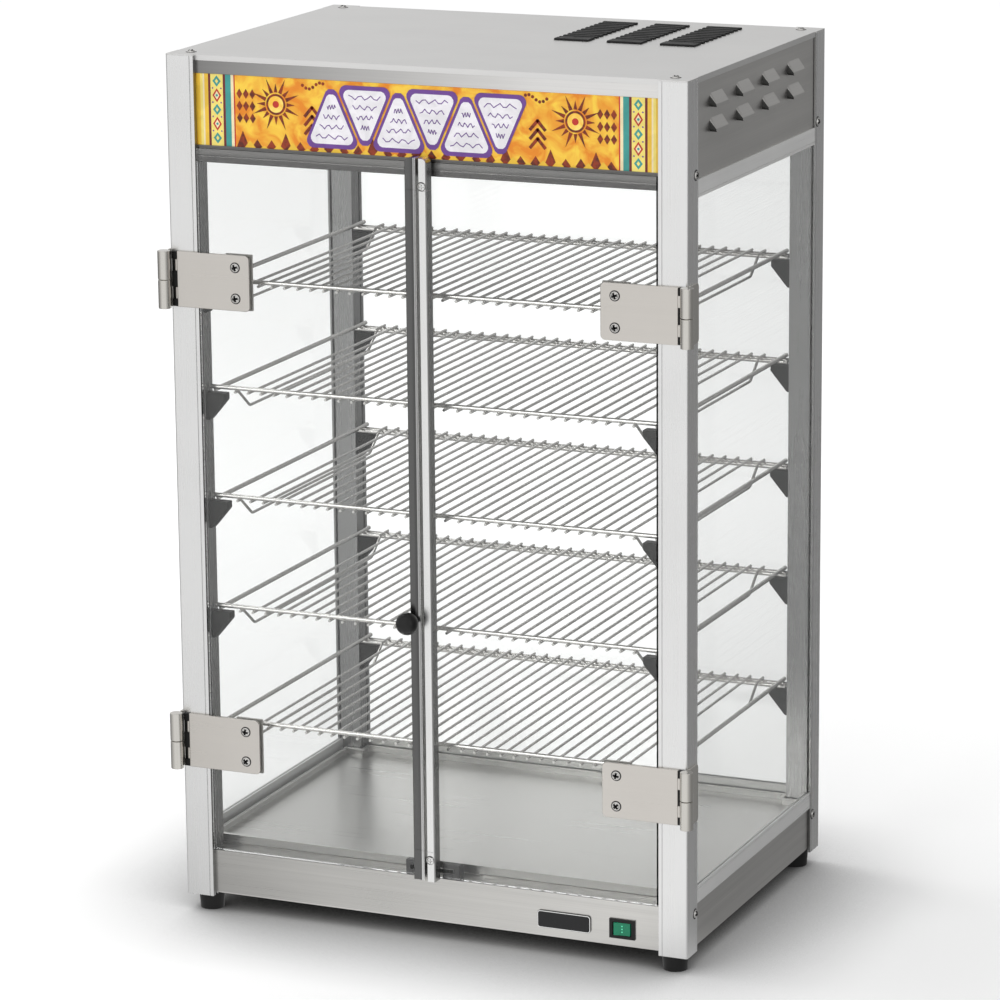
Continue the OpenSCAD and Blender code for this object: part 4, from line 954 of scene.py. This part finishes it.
screw_tree, given = grown_tree("screws on points", ["Head radius", "Head height", "Shank radius",
                                                    "Shank length", "Cross width"])
# Painted shade for the cross recess and the shadow ring.
recess_shade = metal("screw_recess_shade", (0.035, 0.035, 0.035), z_axis, roughness=0.45)
head_r, head_h, shank_l = (given[label] for label in ("Head radius", "Head height", "Shank length"))
squat = add(screw_tree, "ShaderNodeCombineXYZ", X=0.9, Y=0.9,
            Z=math_node(screw_tree, "DIVIDE", head_h, head_r))
dome = add(screw_tree, "GeometryNodeMeshUVSphere", Segments=24, Rings=14, Radius=head_r)
dome = add(screw_tree, "GeometryNodeTransform", Geometry=dome, Scale=squat)
head = add(screw_tree, "GeometryNodeSetMaterial", Geometry=dome, Material=given["Material"])
cross = (math_node(screw_tree, "MULTIPLY", head_r, 1.45), given["Cross width"])
cross_deep = math_node(screw_tree, "MULTIPLY", head_h, 1.3)
for x, y in (cross, cross[::-1]):
    size = add(screw_tree, "ShaderNodeCombineXYZ", X=x, Y=y, Z=cross_deep)
    bar = shifted(screw_tree, add(screw_tree, "GeometryNodeMeshCube", Size=size), head_h)
    bar = add(screw_tree, "GeometryNodeSetMaterial", Geometry=bar, Material=recess_shade)
    head = add(screw_tree, "GeometryNodeMeshBoolean", {"operation": "DIFFERENCE"},
               order=(head, bar))
brim = add(screw_tree, "GeometryNodeMeshCylinder", Vertices=28, Radius=head_r,
           Depth=math_node(screw_tree, "MULTIPLY", head_h, 0.24))
brim = shifted(screw_tree, brim, math_node(screw_tree, "MULTIPLY", head_h, 0.12))
shank = add(screw_tree, "GeometryNodeMeshCylinder", Vertices=16, Radius=given["Shank radius"],
            Depth=shank_l)
shank = shifted(screw_tree, shank, math_node(screw_tree, "MULTIPLY", shank_l, -0.5))
# A thin disc wider than the head: a painted shadow ring.
shadow_ring = add(screw_tree, "GeometryNodeMeshCylinder", Vertices=28, Depth=0.0002,
           Radius=math_node(screw_tree, "MULTIPLY", head_r, 1.25))
shadow_ring = add(screw_tree, "GeometryNodeSetMaterial", Geometry=shadow_ring, Material=recess_shade)
screw = add(screw_tree, "GeometryNodeJoinGeometry")
for part in (head, brim, shank, shadow_ring):
    feed(screw_tree, screw.node, (part,))
facing = add(screw_tree, "GeometryNodeInputNamedAttribute", {"data_type": "FLOAT_VECTOR"},
             "Attribute", Name="facing")
aimed = add(screw_tree, "FunctionNodeAlignRotationToVector", {"axis": "Z"}, Vector=facing)
driven = add(screw_tree, "FunctionNodeRandomValue", {"data_type": "FLOAT"}, 1,
             (None, None, 0.0, math.pi), Seed=7)
own_turn = add(screw_tree, "FunctionNodeEulerToRotation",
               Euler=add(screw_tree, "ShaderNodeCombineXYZ", Z=driven))
full_turn = add(screw_tree, "FunctionNodeRotateRotation", {"rotation_space": "LOCAL"},
                Rotation=aimed, Rotate_By=own_turn)
placed = add(screw_tree, "GeometryNodeInstanceOnPoints", Points=given["Geometry"],
             Instance=screw, Rotation=full_turn)
end_tree(screw_tree, placed, given["Material"], recess_shade)

screw_metal = metal("screw_steel", (0.70, 0.69, 0.67), z_axis, roughness=0.14, streak=0.05,
                    edge_mm=0.15)
screw_sizes = {"Head radius": 0.004, "Head height": 0.0024, "Shank radius": 0.0018,
               "Shank length": 0.008, "Cross width": 0.0021}


def screw_piece(name, body, node, seats, sizes=screw_sizes):
    """Screws of one body, from (point, direction) pairs."""
    points, directions = zip(*seats)
    mesh = grow(name, screw_tree, [[point] for point in points], sizes, screw_metal, directions)
    piece = new_object(name, mesh)
    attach(piece, body)
    if node:
        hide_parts(node)


post_face_x, cover_face_z = 254.0, 817.2
cover_screw_x, cover_screw_ys = 236, (-149.5, 174.5)
side_screw_ys, side_screw_zs = (-147.0, 172.0), (53.5, 732.0)
frame_seats = [((side * cover_screw_x, y, cover_face_z), (0, 0, 1))
               for side in (-1, 1) for y in cover_screw_ys]
frame_seats += [((side * post_face_x, y, z), (side, 0, 0))
                for side in (-1, 1) for y in side_screw_ys for z in side_screw_zs]
screw_piece("frame_screw_heads", "cabinet", "frame_screws", frame_seats)
give(screw_metal, "foot_screws")


# Doors
# Each door is a pane with an aluminium stile at the middle. The left stile ends in a ridge, and
# past a line near its edge it is dark with painted shade that stands for a finger pull in shadow.
# The right one is a plain box whose faces that look to the right are grey with painted shade.
stile_shade_edge = -0.0045
stile_aluminium = (0.84, 0.84, 0.83)
# Painted shade darkens the left stile past the edge line above.
left_stile_metal = metal("stile_aluminium_left", stile_aluminium, z_axis, roughness=0.26,
                         streak=0.03, shade_fades=[(x_axis, stile_shade_edge - 0.0002, stile_shade_edge, 0.84)])
# Painted shade on the faces that look to the right.
right_stile_metal = metal("stile_aluminium_right", stile_aluminium, z_axis, roughness=0.26,
                          streak=0.03, side=((1, 0, 0), 0.55))
clamp_metal = metal("clamp_nickel", (0.55, 0.53, 0.50), x_axis, roughness=0.45, satin=0.4)
knob_plastic = moulding("knob_plastic", (0.005, 0.005, 0.005), 0.3, coat=0.15)
catch_plastic = moulding("catch_plastic", (0.03, 0.03, 0.03), 0.4)
give(left_stile_metal, "door_stile_left", "door_stile_ends_left")
give(right_stile_metal, "door_stile_right", "door_stile_ends_right")
give(clamp_metal, "door_clamp_plates_left", "door_clamp_plates_right")
give(knob_plastic, "door_knob")
give(catch_plastic, "catch_magnets")
soften(0.5, "door_stile_ends_left", "door_stile_ends_right", "catch_magnets")

stile_low, stile_high = box_mm("door_stile_right")
stile_screw = {"Head radius": 0.0034, "Head height": 0.0026, "Shank radius": 0.0015,
               "Shank length": 0.003, "Cross width": 0.0016}
stile_screw_x = stile_low.x + 3.6
stile_screw_zs = (box_mm("door_stile_ends_right")[0].z + 21, stile_high.z + 4)
screw_piece("stile_screw_heads", "right_door", None,
            [((stile_screw_x, stile_low.y, z), (0, -1, 0)) for z in stile_screw_zs], stile_screw)


# Hinges
# Nickel-plated plates are screwed through each pane to a clamp plate behind it, and turn on pins in
# barrels at the posts' outer corners. The necks between plate and barrel, and a web behind them
# across the gap, are near-black with painted shade.
nickel = metal("hinge_nickel", (0.66, 0.63, 0.59), x_axis, streak=0.02, edge_mm=0.2)
barrel_nickel = metal("barrel_nickel", (0.66, 0.64, 0.60), z_axis, roughness=0.16, streak=0.05,
                      edge_mm=0.2)
# Painted shade for the necks and the web behind them.
neck_shade = metal("hinge_neck_shade", (0.03, 0.03, 0.03), z_axis, roughness=0.4)
give(barrel_nickel, "hinge_fixed_leaves", "hinge_pins")
soften(0.5, "hinge_fixed_leaves")
hinge_zs = (169.0, 610.0)
plate_free_x, plate_root_x = 172.4, 246.0
plate_front, plate_back = -169.9, -166.9
plate_half, plate_corner_r, plate_edge_r = 26.0, 4.5, 0.9
neck_h, stub_end_x, neck_end_x = 7.4, 248.2, 251.4
barrel_x, barrel_y, barrel_r, barrel_half, barrel_gap = 256.4, -174.8, 6.0, 27.0, 0.3
hinge_screw_x, hinge_screw_z = 186.4, 14.4
for side, label in ((-1, "left"), (1, "right")):
    plates, necks, knuckles = bmesh.new(), bmesh.new(), bmesh.new()
    for z in hinge_zs:
        round_x = side * (plate_free_x + plate_corner_r + 0.5)
        rounded = oblong(2 * plate_corner_r + 1, 2 * plate_half, plate_corner_r, (round_x, z))
        free_end = [tuple(p) for p in rounded if (p.x - round_x) * side <= 0]
        free_end.sort(key=lambda p: math.atan2(p[1] - z, (round_x - p[0]) * side + 0.01))
        root = [(side * plate_root_x, z + plate_half), (side * plate_root_x, z - plate_half)]
        add_bar(plates, free_end + root, plate_front, plate_back, y_axis)
        for low, high in ((neck_h, plate_half - neck_h), (neck_h - plate_half, -neck_h)):
            stub = rectangle(side * (plate_root_x - 1), z + low, side * stub_end_x, z + high)
            add_bar(plates, stub, plate_front + 0.4, plate_back - 0.2, y_axis)
        # A dark web across the gap between plate and barrel: a painted shadow.
        shade_web = rectangle(side * (plate_root_x - 2), z - plate_half + 0.5, side * neck_end_x,
                        z + plate_half - 0.5)
        add_bar(necks, shade_web, plate_back - 1.3, plate_back, y_axis)
        for low, high in ((plate_half - neck_h, plate_half - 0.4), (-neck_h, neck_h),
                          (0.4 - plate_half, neck_h - plate_half)):
            neck = rectangle(side * (plate_root_x - 1), z + low, side * neck_end_x, z + high)
            add_bar(necks, neck, plate_front + 0.5, plate_back - 1.0, y_axis)
        circle = disc(side * barrel_x, barrel_y, barrel_r, 40)
        add_bar(knuckles, circle, z + barrel_gap, z + barrel_half, z_axis)
    for shape, name, material, round_mm in (
            (plates, "plates", nickel, plate_edge_r), (necks, "necks", neck_shade, 0.3),
            (knuckles, "knuckles", barrel_nickel, 0.6)):
        piece = piece_from(shape, f"hinge_{name}_{label}", material, round_mm, 3)
        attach(piece, f"{label}_door")
        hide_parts(f"door_hinge_leaves_{label}")
for side, label in ((-1, "left"), (1, "right")):
    seats = [((side * hinge_screw_x, plate_front, z + up * hinge_screw_z), (0, -1, 0))
             for z in hinge_zs for up in (-1, 1)]
    screw_piece(f"hinge_screw_heads_{label}", f"{label}_door", f"door_screws_{label}", seats)
